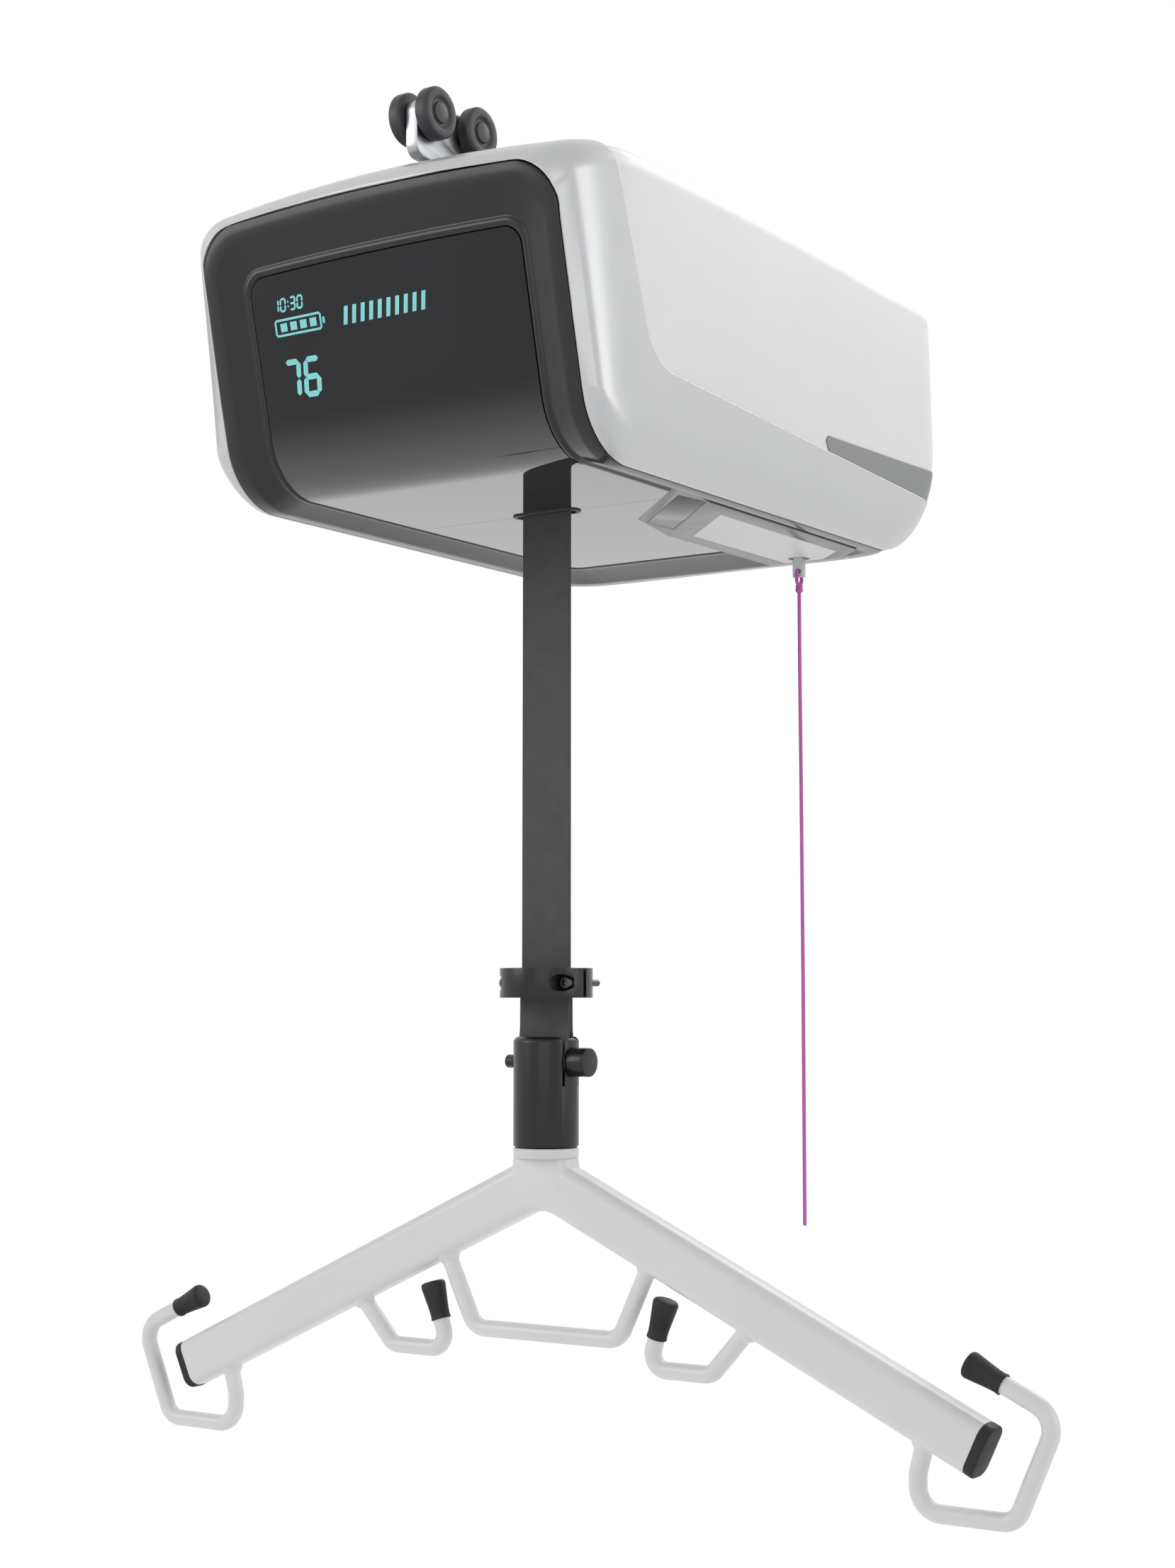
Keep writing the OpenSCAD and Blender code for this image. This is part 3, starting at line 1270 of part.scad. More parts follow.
module rod_tip(path) {
  last = path[len(path) - 1];
  before = path[len(path) - 2];
  deg = dir_deg(before, last);
  translate([0, 0, arm_z]) rotate([quarter_turn, 0, 0]) translate(last - tip_bore * unit(deg))
    rotate([0, quarter_turn, deg]) rotate_extrude($fn = fn_mid) polygon(concat(
      [[0, tip_bore], [rod_d / 2 + run_gap, tip_bore], [rod_d / 2 + run_gap, 0], [tip_neck_d / 2, 0]],
      [for (i = [0:seam_steps]) [tip_d / 2 - tip_round, tip_l - tip_round]
        + tip_round * unit(quarter_turn * i / seam_steps)],
      [[0, tip_l]]));
}
module hook_tips() {
  color(black_c) for (side = [0, 1], path = [outer_path(), inner_path()]) mirror([side, 0, 0]) rod_tip(path);
}

// Emergency pull
module pull_rod() {
  color(tab_c) translate([pull_x, pull_y, 0]) difference() {
    union() {
      translate([0, 0, bottom_z - over]) cylinder(h = panel_t + spring_l + 2 * over, d = pull_d, $fn = fn_mid);
      translate([0, 0, pull_head_z]) cylinder(h = pull_head_t, d = pull_head_d, $fn = fn_mid);
      translate([-pull_tab[0] / 2, -pull_tab[1] / 2, bottom_z - gap - pull_tab[2]]) cube(pull_tab);
    }
    translate([0, 0, pull_eye_z]) rotate([quarter_turn, 0, 0])
      cylinder(h = pull_d, d = pull_eye_d, center = true, $fn = fn_small);
  }
}
// A tube swept along points, as a closed solid with round sides
function across(points, i) = let (a = points[max(0, i - 1)], b = points[min(len(points) - 1, i + 1)])
  (b - a) / norm(b - a);
function tube_ring(points, i, d, up, sides) = let (
    t = across(points, i),
    e = cross(t, up) / norm(cross(t, up)),
    f = cross(e, t) )
  [for (k = [0:sides - 1]) let (a = full_turn * k / sides) points[i] + d / 2 * (cos(a) * e + sin(a) * f)];
module tube(points, d, up, sides) {
  skin([for (i = [0:len(points) - 1]) tube_ring(points, i, d, up, sides)]);
}
function spring_point(s) = [(spring_d - spring_wire) / 2 * cos(full_turn * spring_turns * s),
  (spring_d - spring_wire) / 2 * sin(full_turn * spring_turns * s),
  spring_wire / 2 + (spring_l - spring_wire) * s];
module pull_spring() {
  color(steel_c) translate([pull_x, pull_y, bottom_z + panel_t])
    tube([for (i = [0:spring_steps]) spring_point(i / spring_steps)], spring_wire, [0, 0, 1], spring_sides);
}
module pull_loop() {
  top = pull_eye_z + pull_eye_d / 2 - cord_d / 2 - seat_gap;
  low = bottom_z - cord_drop + knot_l;
  color(cord_c) translate([pull_x, pull_y, 0]) {
    closed_skin([for (i = [0:loop_steps - 1]) let (a = full_turn * i / loop_steps,
      c = [0, loop_half_w * cos(a), mix(low, top, (1 + sin(a)) / 2)],
      d = [0, -loop_half_w * sin(a), (top - low) / 2 * cos(a)],
      t = d / norm(d) )
      [for (k = [0:cord_sides - 1]) let (b = full_turn * k / cord_sides)
        c + cord_d / 2 * (cos(b) * [1, 0, 0] + sin(b) * cross(t, [1, 0, 0]))]]);
    translate([0, 0, bottom_z - cord_drop]) cylinder(h = knot_l + cord_d / 2, d = knot_d, $fn = fn_small);
  }
}
module pull_cord() {
  color(cord_c) translate(cord_shift) tube(cord_route, cord_d, [0, 1, 0], cord_sides);
}

front_frame();
hood();
rear_band();
face_frame();
display_glass();
belly_glass();
service_panel();
sensor_window();
label_plate();
strap_guide();
chassis();
swivel_bushes();
drum_bearings();
gearbox();
motor();
battery_tray();
battery_packs();
control_board();
display_module();
roller_pin();
limit_switch();
pull_switch();
hood_screws();
drum();
drum_shaft();
drum_gear();
strap_roll();
pinion();
guide_roller();
front_trolley();
front_swivel_nut();
rear_trolley();
rear_swivel_nut();
front_wheelset_a();
front_wheelset_b();
rear_wheelset_a();
rear_wheelset_b();
strap_run();
strap_tail();
clamp_front();
clamp_rear();
clamp_screws();
barrel();
cross_pin();
swivel_collar();
swivel_bolt();
bar_hub();
arm_left();
arm_right();
centre_loop();
outer_hook_left();
outer_hook_right();
inner_hook_left();
inner_hook_right();
end_caps();
hook_tips();
pull_rod();
pull_spring();
pull_loop();
pull_cord();
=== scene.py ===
"""Looks of the ceiling hoist: moulded housing, strap, clamp, spreader bar and pull cord."""

import json
from math import atan2, cos, degrees, pi, radians, sin, sqrt, tan

import bmesh
import bpy
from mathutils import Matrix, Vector


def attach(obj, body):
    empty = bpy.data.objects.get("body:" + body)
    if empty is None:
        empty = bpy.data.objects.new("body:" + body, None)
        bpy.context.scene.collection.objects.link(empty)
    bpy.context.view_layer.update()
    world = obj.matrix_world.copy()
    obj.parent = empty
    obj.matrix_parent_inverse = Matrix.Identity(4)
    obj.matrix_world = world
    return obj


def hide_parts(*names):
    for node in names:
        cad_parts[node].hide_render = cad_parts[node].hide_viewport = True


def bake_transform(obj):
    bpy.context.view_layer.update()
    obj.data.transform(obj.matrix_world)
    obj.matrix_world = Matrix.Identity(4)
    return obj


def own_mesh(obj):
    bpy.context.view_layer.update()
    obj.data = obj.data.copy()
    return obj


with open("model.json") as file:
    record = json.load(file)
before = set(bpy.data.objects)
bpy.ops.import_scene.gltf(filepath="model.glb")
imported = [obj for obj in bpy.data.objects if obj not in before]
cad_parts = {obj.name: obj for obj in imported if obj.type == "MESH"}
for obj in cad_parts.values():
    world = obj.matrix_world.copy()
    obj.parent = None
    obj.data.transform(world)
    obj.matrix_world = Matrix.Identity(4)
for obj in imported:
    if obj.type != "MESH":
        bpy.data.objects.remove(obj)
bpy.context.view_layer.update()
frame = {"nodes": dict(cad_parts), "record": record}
nodes = frame["nodes"]
MM = 0.001

# Camera, light and floor, in metres and degrees, with the lens and its sensor in millimetres

CAMERA_PLACE = (0.84144, -1.21194, -0.485)
CAMERA_TILT = 4.94
CAMERA_TURN = 33.82
CAMERA_LENS = 56.784
CAMERA_SENSOR = 36
CAMERA_REACH = 50
FULL_WHITE = (1, 1, 1, 1)
ROOM_COLOUR = (0.97, 0.98, 1.0, 1)
ROOM_LIGHT = 0.36
# Each lamp's name, place, what it points at, width and height, and power in watts
LAMPS = (
    ("key_left", (-1.9, -2.2, 0.7), (0, 0, -0.3), (1.6, 1.6), 26),
    ("fill_front", (1.4, -2.8, 0.2), (0, 0, -0.35), (2.2, 1.6), 10),
    ("side_right", (2.6, 0.6, 0.3), (0, 0.05, -0.3), (1.8, 1.8), 18),
    ("rear_top", (0.2, 2.2, 1.3), (0, 0, -0.2), (1.8, 1.2), 18),
)
# The floor lies below the lowest place that the spreader bar comes down to
FLOOR_Z = -2.75
FLOOR_SIZE = 30
FLOOR_COLOUR = (0.93, 0.93, 0.93, 1)
FLOOR_GLOW = 0.25
FADE_START = 0.5
FADE_END = 1.7


def fill(node, **values):
    """Sets a node's sockets by name, with an underscore for each space."""
    for key, value in values.items():
        node.inputs[key.replace("_", " ")].default_value = value
    return node


def let_go():
    """Leaves edit mode and selects nothing."""
    if bpy.context.object and bpy.context.object.mode != "OBJECT":
        bpy.ops.object.mode_set(mode="OBJECT")
    bpy.ops.object.select_all(action="DESELECT")


def place_camera():
    bpy.ops.object.camera_add(location=CAMERA_PLACE,
                              rotation=(radians(90 + CAMERA_TILT), 0, radians(CAMERA_TURN)))
    camera = bpy.context.object
    camera.name = "camera"
    camera.data.lens = CAMERA_LENS
    camera.data.sensor_width = CAMERA_SENSOR
    camera.data.clip_end = CAMERA_REACH
    bpy.context.scene.camera = camera


def lamp(name, place, aim, size, power):
    bpy.ops.object.light_add(type="AREA", location=place)
    light = bpy.context.object
    light.name = name
    light.data.shape = "RECTANGLE"
    light.data.size, light.data.size_y = size
    light.data.energy = power
    light.rotation_euler = (Vector(aim) - Vector(place)).to_track_quat("-Z", "Y").to_euler()


def combined(tree, how, first, second):
    """The greater, the product or the like of two values."""
    made = tree.nodes.new("ShaderNodeMath")
    made.operation = how
    tree.links.new(first, made.inputs[0])
    tree.links.new(second, made.inputs[1])
    return made.outputs[0]


def seen_directly(tree):
    """One where the camera, a mirror or clear glass looks at this surface, else nought."""
    path = tree.nodes.new("ShaderNodeLightPath")
    total = path.outputs["Is Camera Ray"]
    for name in ("Is Glossy Ray", "Is Transmission Ray"):
        total = combined(tree, "MAXIMUM", total, path.outputs[name])
    return total


def between(tree, amount, first, second):
    """A shader that goes from the first to the second as the amount goes from nought to one."""
    choice = tree.nodes.new("ShaderNodeMixShader")
    for source, socket in ((amount, "Fac"), (first, 1), (second, 2)):
        tree.links.new(source, choice.inputs[socket])
    return choice.outputs[0]


def light_the_room():
    world = bpy.data.worlds.new("studio")
    bpy.context.scene.world = world
    world.use_nodes = True
    tree = world.node_tree
    tree.nodes.clear()
    shades = []
    for colour, strength in ((ROOM_COLOUR, ROOM_LIGHT), (FULL_WHITE, 1.0)):
        shade = fill(tree.nodes.new("ShaderNodeBackground"), Color=colour, Strength=strength)
        shades.append(shade.outputs[0])
    out = tree.nodes.new("ShaderNodeOutputWorld")
    tree.links.new(between(tree, seen_directly(tree), *shades), out.inputs["Surface"])
    for values in LAMPS:
        lamp(*values)


def lay_floor():
    """A pale floor that takes the shadow near the object and fades into the white room further off."""
    bpy.ops.mesh.primitive_plane_add(size=FLOOR_SIZE, location=(0, 0, FLOOR_Z))
    floor = bpy.context.object
    floor.name = "floor"
    material = bpy.data.materials.new("pale_floor")
    material.use_nodes = True
    tree = material.node_tree
    link = tree.links.new
    shader = fill(tree.nodes["Principled BSDF"], Base_Color=FLOOR_COLOUR, Emission_Color=FULL_WHITE,
                  Emission_Strength=FLOOR_GLOW, Roughness=0.9, Specular_IOR_Level=0.1)
    place = tree.nodes.new("ShaderNodeTexCoord")
    reach = tree.nodes.new("ShaderNodeVectorMath")
    reach.operation = "LENGTH"
    link(place.outputs["Object"], reach.inputs[0])
    fade = fill(tree.nodes.new("ShaderNodeMapRange"), From_Min=FADE_START, From_Max=FADE_END)
    fade.interpolation_type = "SMOOTHSTEP"
    link(reach.outputs["Value"], fade.inputs["Value"])
    amount = combined(tree, "MULTIPLY", fade.outputs["Result"], seen_directly(tree))
    white = tree.nodes.new("ShaderNodeEmission")
    surface = between(tree, amount, shader.outputs[0], white.outputs[0])
    link(surface, tree.nodes["Material Output"].inputs["Surface"])
    floor.data.materials.append(material)


place_camera()
light_the_room()
lay_floor()
bpy.context.scene.view_settings.view_transform = "Standard"

# Finishes, with depths and edge radii in metres

# A noise stays mostly between these two values, and a tint's two tones sit at these stops of it
NOISE_LOW, NOISE_HIGH = 0.3, 0.7
DARK_STOP, LIGHT_STOP = 0.35, 0.65
BEVEL_SAMPLES = 6
SHELL_EDGE = 0.0009
TRIM_EDGE = 0.0006
# The mirror film of the glass grows between these two heights
FILM_TOP_Z = -0.15
FILM_LOW_Z = -0.19


class Finish:
    """A node tree around one shader, in the piece's own coordinates."""

    def __init__(self, name, colour, rough, metal=0.0, **sockets):
        self.material = bpy.data.materials.new(name)
        self.material.use_nodes = True
        self.tree = self.material.node_tree
        self.shader = fill(self.tree.nodes["Principled BSDF"], Base_Color=(*colour, 1), Roughness=rough,
                           Metallic=metal, **sockets)
        self.place = self.node("ShaderNodeTexCoord").outputs["Object"]
        self.height = None

    def round_edges(self, radius):
        soft = fill(self.node("ShaderNodeBevel", samples=BEVEL_SAMPLES), Radius=radius)
        self.height = soft.outputs["Normal"]
        self.link(self.height, self.shader.inputs["Normal"])

    def node(self, kind, **values):
        new = self.tree.nodes.new(kind)
        for key, value in values.items():
            setattr(new, key, value)
        return new

    def link(self, a, b):
        self.tree.links.new(a, b)

    def noise(self, scale, detail=3.0, stretch=None):
        spot = self.place
        if stretch:
            turn = fill(self.node("ShaderNodeMapping"), Scale=stretch)
            self.link(self.place, turn.inputs["Vector"])
            spot = turn.outputs["Vector"]
        grain = fill(self.node("ShaderNodeTexNoise"), Scale=scale, Detail=detail)
        self.link(spot, grain.inputs["Vector"])
        return grain.outputs["Fac"]

    def spread(self, value, low, high):
        remap = fill(self.node("ShaderNodeMapRange"), From_Min=NOISE_LOW, From_Max=NOISE_HIGH, To_Min=low,
                     To_Max=high)
        self.link(value, remap.inputs["Value"])
        return remap.outputs["Result"]

    def tint(self, value, dark, light):
        ramp = self.node("ShaderNodeValToRGB")
        for stop, place, tone in zip(ramp.color_ramp.elements, (DARK_STOP, LIGHT_STOP), (dark, light)):
            stop.position = place
            stop.color = (*tone, 1)
        self.link(value, ramp.inputs["Fac"])
        self.link(ramp.outputs["Color"], self.shader.inputs["Base Color"])

    def roughen(self, value, low, high):
        self.link(self.spread(value, low, high), self.shader.inputs["Roughness"])

    def emboss(self, value, strength, depth):
        bump = fill(self.node("ShaderNodeBump"), Strength=strength, Distance=depth)
        self.link(value, bump.inputs["Height"])
        if self.height:
            self.link(self.height, bump.inputs["Normal"])
        self.height = bump.outputs["Normal"]
        self.link(self.height, self.shader.inputs["Normal"])


def scaled(colour, factor):
    return tuple(min(1, c * factor) for c in colour)


def moulded(name, colour, rough, grain=0.00002, coat=0.0, edge=0.0, metal=0.0, gloss=0.5):
    """Injection-moulded plastic: faint clouding, uneven sheen and a fine grain."""
    f = Finish(name, colour, rough, metal, Coat_Weight=coat, Coat_Roughness=0.08, Specular_IOR_Level=gloss)
    if edge:
        f.round_edges(edge)
    f.tint(f.noise(scale=9, detail=4), scaled(colour, 0.985), scaled(colour, 1.01))
    f.roughen(f.noise(scale=30), rough - 0.02, rough + 0.025)
    f.emboss(f.noise(scale=1500, detail=2), strength=0.15, depth=grain)
    return f.material


def coated(name, colour, rough, coat, gloss):
    """Powder-coated or painted metal with a soft orange peel."""
    f = Finish(name, colour, rough, Coat_Weight=coat, Coat_Roughness=0.12, Specular_IOR_Level=gloss)
    f.tint(f.noise(scale=14, detail=4), scaled(colour, 0.985), scaled(colour, 1.01))
    f.roughen(f.noise(scale=40), rough - 0.025, rough + 0.03)
    f.emboss(f.noise(scale=620, detail=2), strength=0.1, depth=0.00001)
    return f.material


def drawn_metal(name, colour, rough, stretch=(1, 1, 14)):
    """Turned or drawn metal with fine lines along one way."""
    f = Finish(name, colour, rough, metal=1.0)
    f.tint(f.noise(scale=30, detail=5), scaled(colour, 0.88), scaled(colour, 1.05))
    lines = f.noise(scale=160, detail=4, stretch=stretch)
    f.roughen(lines, rough - 0.06, rough + 0.1)
    f.emboss(lines, strength=0.25, depth=0.00002)
    return f.material


def polished_glass(name, colour, rough):
    """Dark tinted panel under a polished face. Its mirror film grows stronger towards the underside."""
    f = Finish(name, colour, rough, Coat_Roughness=0.02, Coat_IOR=2.1, Specular_IOR_Level=0.22)
    f.tint(f.noise(scale=5), scaled(colour, 0.8), scaled(colour, 1.3))
    f.roughen(f.noise(scale=22, detail=6, stretch=(1, 1, 3)), rough, rough + 0.05)
    parts = f.node("ShaderNodeSeparateXYZ")
    f.link(f.place, parts.inputs["Vector"])
    film = fill(f.node("ShaderNodeMapRange", interpolation_type="SMOOTHSTEP"), From_Min=FILM_TOP_Z,
                From_Max=FILM_LOW_Z, To_Min=0.05, To_Max=0.55)
    f.link(parts.outputs["Z"], film.inputs["Value"])
    f.link(film.outputs["Result"], f.shader.inputs["Coat Weight"])
    return f.material


def woven(name, colour, across, along, depth, rough=0.75):
    """Webbing or braid: crossing threads, one set of ridges along each axis, with uneven fibre tone."""
    f = Finish(name, colour, rough, Sheen_Weight=0.25, Sheen_Roughness=0.4)
    f.tint(f.noise(scale=60), scaled(colour, 0.93), scaled(colour, 1.07))
    threads = []
    for way, scale in (("X", across), ("Z", along)):
        wave = f.node("ShaderNodeTexWave", wave_type="BANDS", bands_direction=way, wave_profile="SIN")
        fill(wave, Scale=scale, Distortion=0.4, Detail=1.0)
        f.link(f.place, wave.inputs["Vector"])
        threads.append(wave.outputs["Fac"])
    f.emboss(combined(f.tree, "MULTIPLY", *threads), strength=0.5, depth=depth)
    f.roughen(f.noise(scale=160), rough - 0.03, rough + 0.04)
    return f.material


def soft_rubber(name, colour):
    """Matt rubber with a dusty, uneven skin."""
    f = Finish(name, colour, 0.62, Specular_IOR_Level=0.35)
    f.tint(f.noise(scale=28, detail=5), scaled(colour, 0.8), scaled(colour, 1.35))
    f.roughen(f.noise(scale=90, detail=5), 0.5, 0.72)
    f.emboss(f.noise(scale=900), strength=0.5, depth=0.00005)
    return f.material


WHITE = moulded("white_moulding", (0.88, 0.88, 0.88), 0.34, coat=0.1, edge=SHELL_EDGE, gloss=0.4)
SILVER = moulded("silver_moulding", (0.62, 0.625, 0.63), 0.31, 3e-6, coat=0.15, edge=SHELL_EDGE, metal=0.3)
GREY = moulded("grey_moulding", (0.27, 0.275, 0.28), 0.42, edge=TRIM_EDGE)
DARK = moulded("dark_surround", (0.024, 0.025, 0.027), 0.18, 0.000008, coat=0.06, edge=TRIM_EDGE, gloss=0.3)
PANEL = moulded("dark_cover", (0.11, 0.11, 0.112), 0.31, 0.00001, coat=0.1)
WINDOW = moulded("window_tint", (0.045, 0.046, 0.048), 0.15, 0.000004, coat=0.05, gloss=0.3)
GLASS = polished_glass("tinted_glass", (0.014, 0.015, 0.017), 0.05)
LABEL = moulded("label_sheet", (0.80, 0.80, 0.79), 0.48)
BLACK_PLASTIC = moulded("black_moulding", (0.020, 0.020, 0.022), 0.42)
WHITE_PLASTIC = moulded("white_nylon", (0.78, 0.78, 0.76), 0.38)
NYLON = moulded("wheel_nylon", (0.030, 0.030, 0.034), 0.45)
BOARD = moulded("board_lacquer", (0.02, 0.12, 0.05), 0.35)
CLEAR = moulded("milky_plastic", (0.66, 0.68, 0.66), 0.24, coat=0.3)
BLACK_COAT = coated("black_coat", (0.013, 0.013, 0.014), 0.32, coat=0.12, gloss=0.3)
BLACK_STEEL = drawn_metal("black_steel", (0.10, 0.10, 0.105), 0.35)
WHITE_COAT = coated("white_coat", (0.84, 0.84, 0.84), 0.33, coat=0.15, gloss=0.4)
STEEL = drawn_metal("zinc_steel", (0.46, 0.47, 0.49), 0.35)
MOTOR_METAL = drawn_metal("cast_metal", (0.52, 0.53, 0.55), 0.42, stretch=(3, 3, 3))
RUBBER = soft_rubber("black_rubber", (0.018, 0.018, 0.019))
WEBBING = woven("dark_webbing", (0.070, 0.071, 0.074), across=190, along=260, depth=0.00012)
THREAD = woven("seam_thread", (0.10, 0.10, 0.105), across=900, along=900, depth=0.00004)
CORD = woven("magenta_braid", (0.58, 0.13, 0.44), across=420, along=260, depth=0.00015, rough=0.6)


def lit_strokes():
    """Soft blue-green light under the glass, a little uneven from place to place."""
    f = Finish("display_light", (0.10, 0.28, 0.28), 0.5, Emission_Color=(0.13, 0.40, 0.40, 1))
    f.link(f.spread(f.noise(scale=35, detail=2), 0.85, 1.05), f.shader.inputs["Emission Strength"])
    return f.material


LIT = lit_strokes()

CAD_FINISH = {
    "white_shell": WHITE, "silver_shell": SILVER, "grey_trim": GREY, "dark_face": PANEL,
    "panel_glass": GLASS, "label_white": LABEL, "steel": STEEL, "motor_metal": MOTOR_METAL,
    "black_plastic": BLACK_PLASTIC, "board_green": BOARD, "white_plastic": WHITE_PLASTIC,
    "wheel_black": NYLON, "webbing": WEBBING, "black_coat": BLACK_COAT,
    "white_coat": WHITE_COAT, "black_rubber": RUBBER, "clear_plastic": CLEAR,
    "cord_magenta": CORD,
}
SLOT_OF = {part["node"]: part["material_slot"] for part in frame["record"]["subparts"]}


def dress_cad_nodes():
    for name, kind in SLOT_OF.items():
        materials = nodes[name].data.materials
        materials.clear()
        materials.append(CAD_FINISH[kind])


dress_cad_nodes()

# Ways of making a piece

BODY_OF = {n: b for b, names in frame["record"]["behaviour"]["bodies"].items() for n in names}
# A CAD piece's doubled points lie closer than this, in metres
MERGE_REACH = 2e-6
# Degrees between faces that count as one flat, and between faces that meet in a sharp edge
FLAT_ANGLE = 0.6
SHARP_ANGLE = 32
# Steps in each corner of a rounded rectangle
ROUND_STEPS = 8


def take(obj):
    """Makes one piece the active one, and the only one selected."""
    let_go()
    obj.select_set(True)
    bpy.context.view_layer.objects.active = obj


def own(obj, name, finish, node, *more, rides=True, angle=40, replaces=True):
    """Names a finished piece, gives it its finish, and says what it rides on and stands for."""
    take(obj)
    bpy.ops.object.transform_apply(location=True, rotation=True, scale=True)
    bpy.ops.object.shade_smooth_by_angle(angle=radians(angle))
    obj.name = name
    obj.data.name = name
    obj.data.materials.clear()
    obj.data.materials.append(finish)
    if rides:
        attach(obj, BODY_OF[node])
    if replaces:
        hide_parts(node, *more)
    let_go()
    return obj


def apply(obj, kind, **values):
    """Adds one modifier, sets it, and applies it."""
    take(obj)
    made = obj.modifiers.new("step", kind)
    for key, value in values.items():
        setattr(made, key, value)
    bpy.ops.object.modifier_apply(modifier=made.name)


def cut(obj, tool, how="DIFFERENCE"):
    apply(obj, "BOOLEAN", operation=how, object=tool, solver="EXACT")
    bpy.data.objects.remove(tool, do_unlink=True)


def loft(rings, ends=True):
    """Draws the first ring, then extrudes it from ring to ring. Without ends, the last meets the first."""
    let_go()
    bpy.ops.mesh.primitive_circle_add(vertices=len(rings[0]), radius=1, fill_type="NOTHING")
    obj = bpy.context.object
    bpy.ops.object.mode_set(mode="EDIT")
    bpy.ops.mesh.select_mode(type="VERT")
    bpy.ops.mesh.select_all(action="SELECT")
    mesh = bmesh.from_edit_mesh(obj.data)
    seat = mesh.verts.layers.int.new("seat")
    for i, vert in enumerate(mesh.verts):
        vert[seat] = i
        vert.co = rings[0][i]
    bmesh.update_edit_mesh(obj.data)
    if ends:
        bpy.ops.mesh.edge_face_add()
    extrude = bpy.ops.mesh.extrude_region_move if ends else bpy.ops.mesh.extrude_edges_move
    for ring in rings[1:]:
        extrude()
        mesh = bmesh.from_edit_mesh(obj.data)
        seat = mesh.verts.layers.int["seat"]
        for vert in mesh.verts:
            if vert.select:
                vert.co = ring[vert[seat]]
    if not ends:
        bpy.ops.mesh.select_mode(type="EDGE")
        bpy.ops.mesh.select_all(action="DESELECT")
        mesh = bmesh.from_edit_mesh(obj.data)
        for edge in mesh.edges:
            edge.select = edge.is_boundary
        bpy.ops.mesh.bridge_edge_loops()
        bpy.ops.mesh.select_mode(type="VERT")
    bpy.ops.mesh.select_all(action="SELECT")
    bpy.ops.mesh.normals_make_consistent(inside=False)
    bpy.ops.object.mode_set(mode="OBJECT")
    return obj


def prism(points, way, low, high):
    """Extrudes a flat outline from low to high along one axis."""

    def at(p, d):
        return {"x": (d, p[0], p[1]), "y": (p[0], d, p[1]), "z": (p[0], p[1], d)}[way]

    return loft([[Vector(at(p, d)) * MM for p in points] for d in (low, high)])


def spokes(one, two, sides):
    """Evenly spread directions round a circle in the plane of two crossed directions."""
    return [one * cos(2 * pi * i / sides) + two * sin(2 * pi * i / sides) for i in range(sides)]


def turned(profile, place, axis, sides=48):
    """A lathe piece: (radius, distance) pairs along an axis from a place."""
    axis = Vector(axis).normalized()
    one = axis.orthogonal().normalized()
    ways = spokes(one, axis.cross(one), sides)
    return loft([[(Vector(place) + axis * d + way * r) * MM for way in ways] for r, d in profile])


def swept(points, radius, up, sides=32, ends=True):
    """A round bar along a line of points. Without ends, the line is closed."""
    rings = []
    count = len(points)
    for i, point in enumerate(points):
        if ends:
            along = points[min(count - 1, i + 1)] - points[max(0, i - 1)]
        else:
            along = points[(i + 1) % count] - points[i - 1]
        one = along.cross(up).normalized()
        two = one.cross(along).normalized()
        rings.append([(point + way * radius) * MM for way in spokes(one, two, sides)])
    return loft(rings, ends)


def eased(node, name, finish, width, segments=2):
    """A merged copy of a hard CAD piece with its sharp edges eased."""
    let_go()
    obj = bpy.data.objects.new(name, nodes[node].data.copy())
    bpy.context.collection.objects.link(obj)
    take(obj)
    bpy.ops.object.mode_set(mode="EDIT")
    bpy.ops.mesh.select_all(action="SELECT")
    bpy.ops.mesh.remove_doubles(threshold=MERGE_REACH)
    bpy.ops.mesh.dissolve_limited(angle_limit=radians(FLAT_ANGLE))
    bpy.ops.mesh.select_all(action="DESELECT")
    bpy.ops.object.mode_set(mode="OBJECT")
    apply(obj, "BEVEL", width=width * MM, segments=segments, limit_method="ANGLE",
          angle_limit=radians(SHARP_ANGLE))
    return own(obj, name, finish, node, angle=35)


def joined(pieces):
    """Makes one mesh of several."""
    take(pieces[0])
    for piece in pieces:
        piece.select_set(True)
    bpy.ops.object.join()
    return bpy.context.object


def rounded(w, h, r):
    """Points of a rounded rectangle round its own middle."""
    points = []
    for i, (sx, sy) in enumerate([(1, 1), (-1, 1), (-1, -1), (1, -1)]):
        for k in range(ROUND_STEPS + 1):
            a = pi / 2 * (i + k / ROUND_STEPS)
            points.append((sx * (w / 2 - r) + r * cos(a), sy * (h / 2 - r) + r * sin(a)))
    return points


# Housing, in millimetres, from the same measures as the solids

HALF_W = 140
FRONT = 176
REAR = 288
CROWN_Z = -12
BOTTOM_Z = -198.5
TOP_CROWN = 6
SHOULDER_Z = CROWN_Z - TOP_CROWN
LEAN = radians(13.5)
CHIN_R = 44
FACE_TOP_Z = CROWN_Z - 33.5
CHIN_Z = BOTTOM_Z + CHIN_R
CHIN_TOP_Z = CHIN_Z - CHIN_R * sin(LEAN)
CHIN_TOP_Y = -FRONT + (FACE_TOP_Z - CHIN_TOP_Z) * tan(LEAN)
CHIN_Y = CHIN_TOP_Y + CHIN_R * cos(LEAN)
FACE_REAR = 226
REAR_FLAT_Y = 210
REAR_MID_Z = CROWN_Z - 69
REAR_ROUND = 30
REAR_ROLL_R = 52
REAR_BOW = 20
FACE_HALF = 125
FACE_CROWN = 5.5
FACE_CORNER_R = 26
LIP_W = 14
LIP_TOP = 23
TUMBLE = 2.5
TOP_CORNER = (22, 18)
LOW_CORNER_H = 26
HOOD_INSET = 1.2
SHELL_T = 3
TURN = pi / 2 - LEAN
CHIN_LEN = CHIN_R * TURN
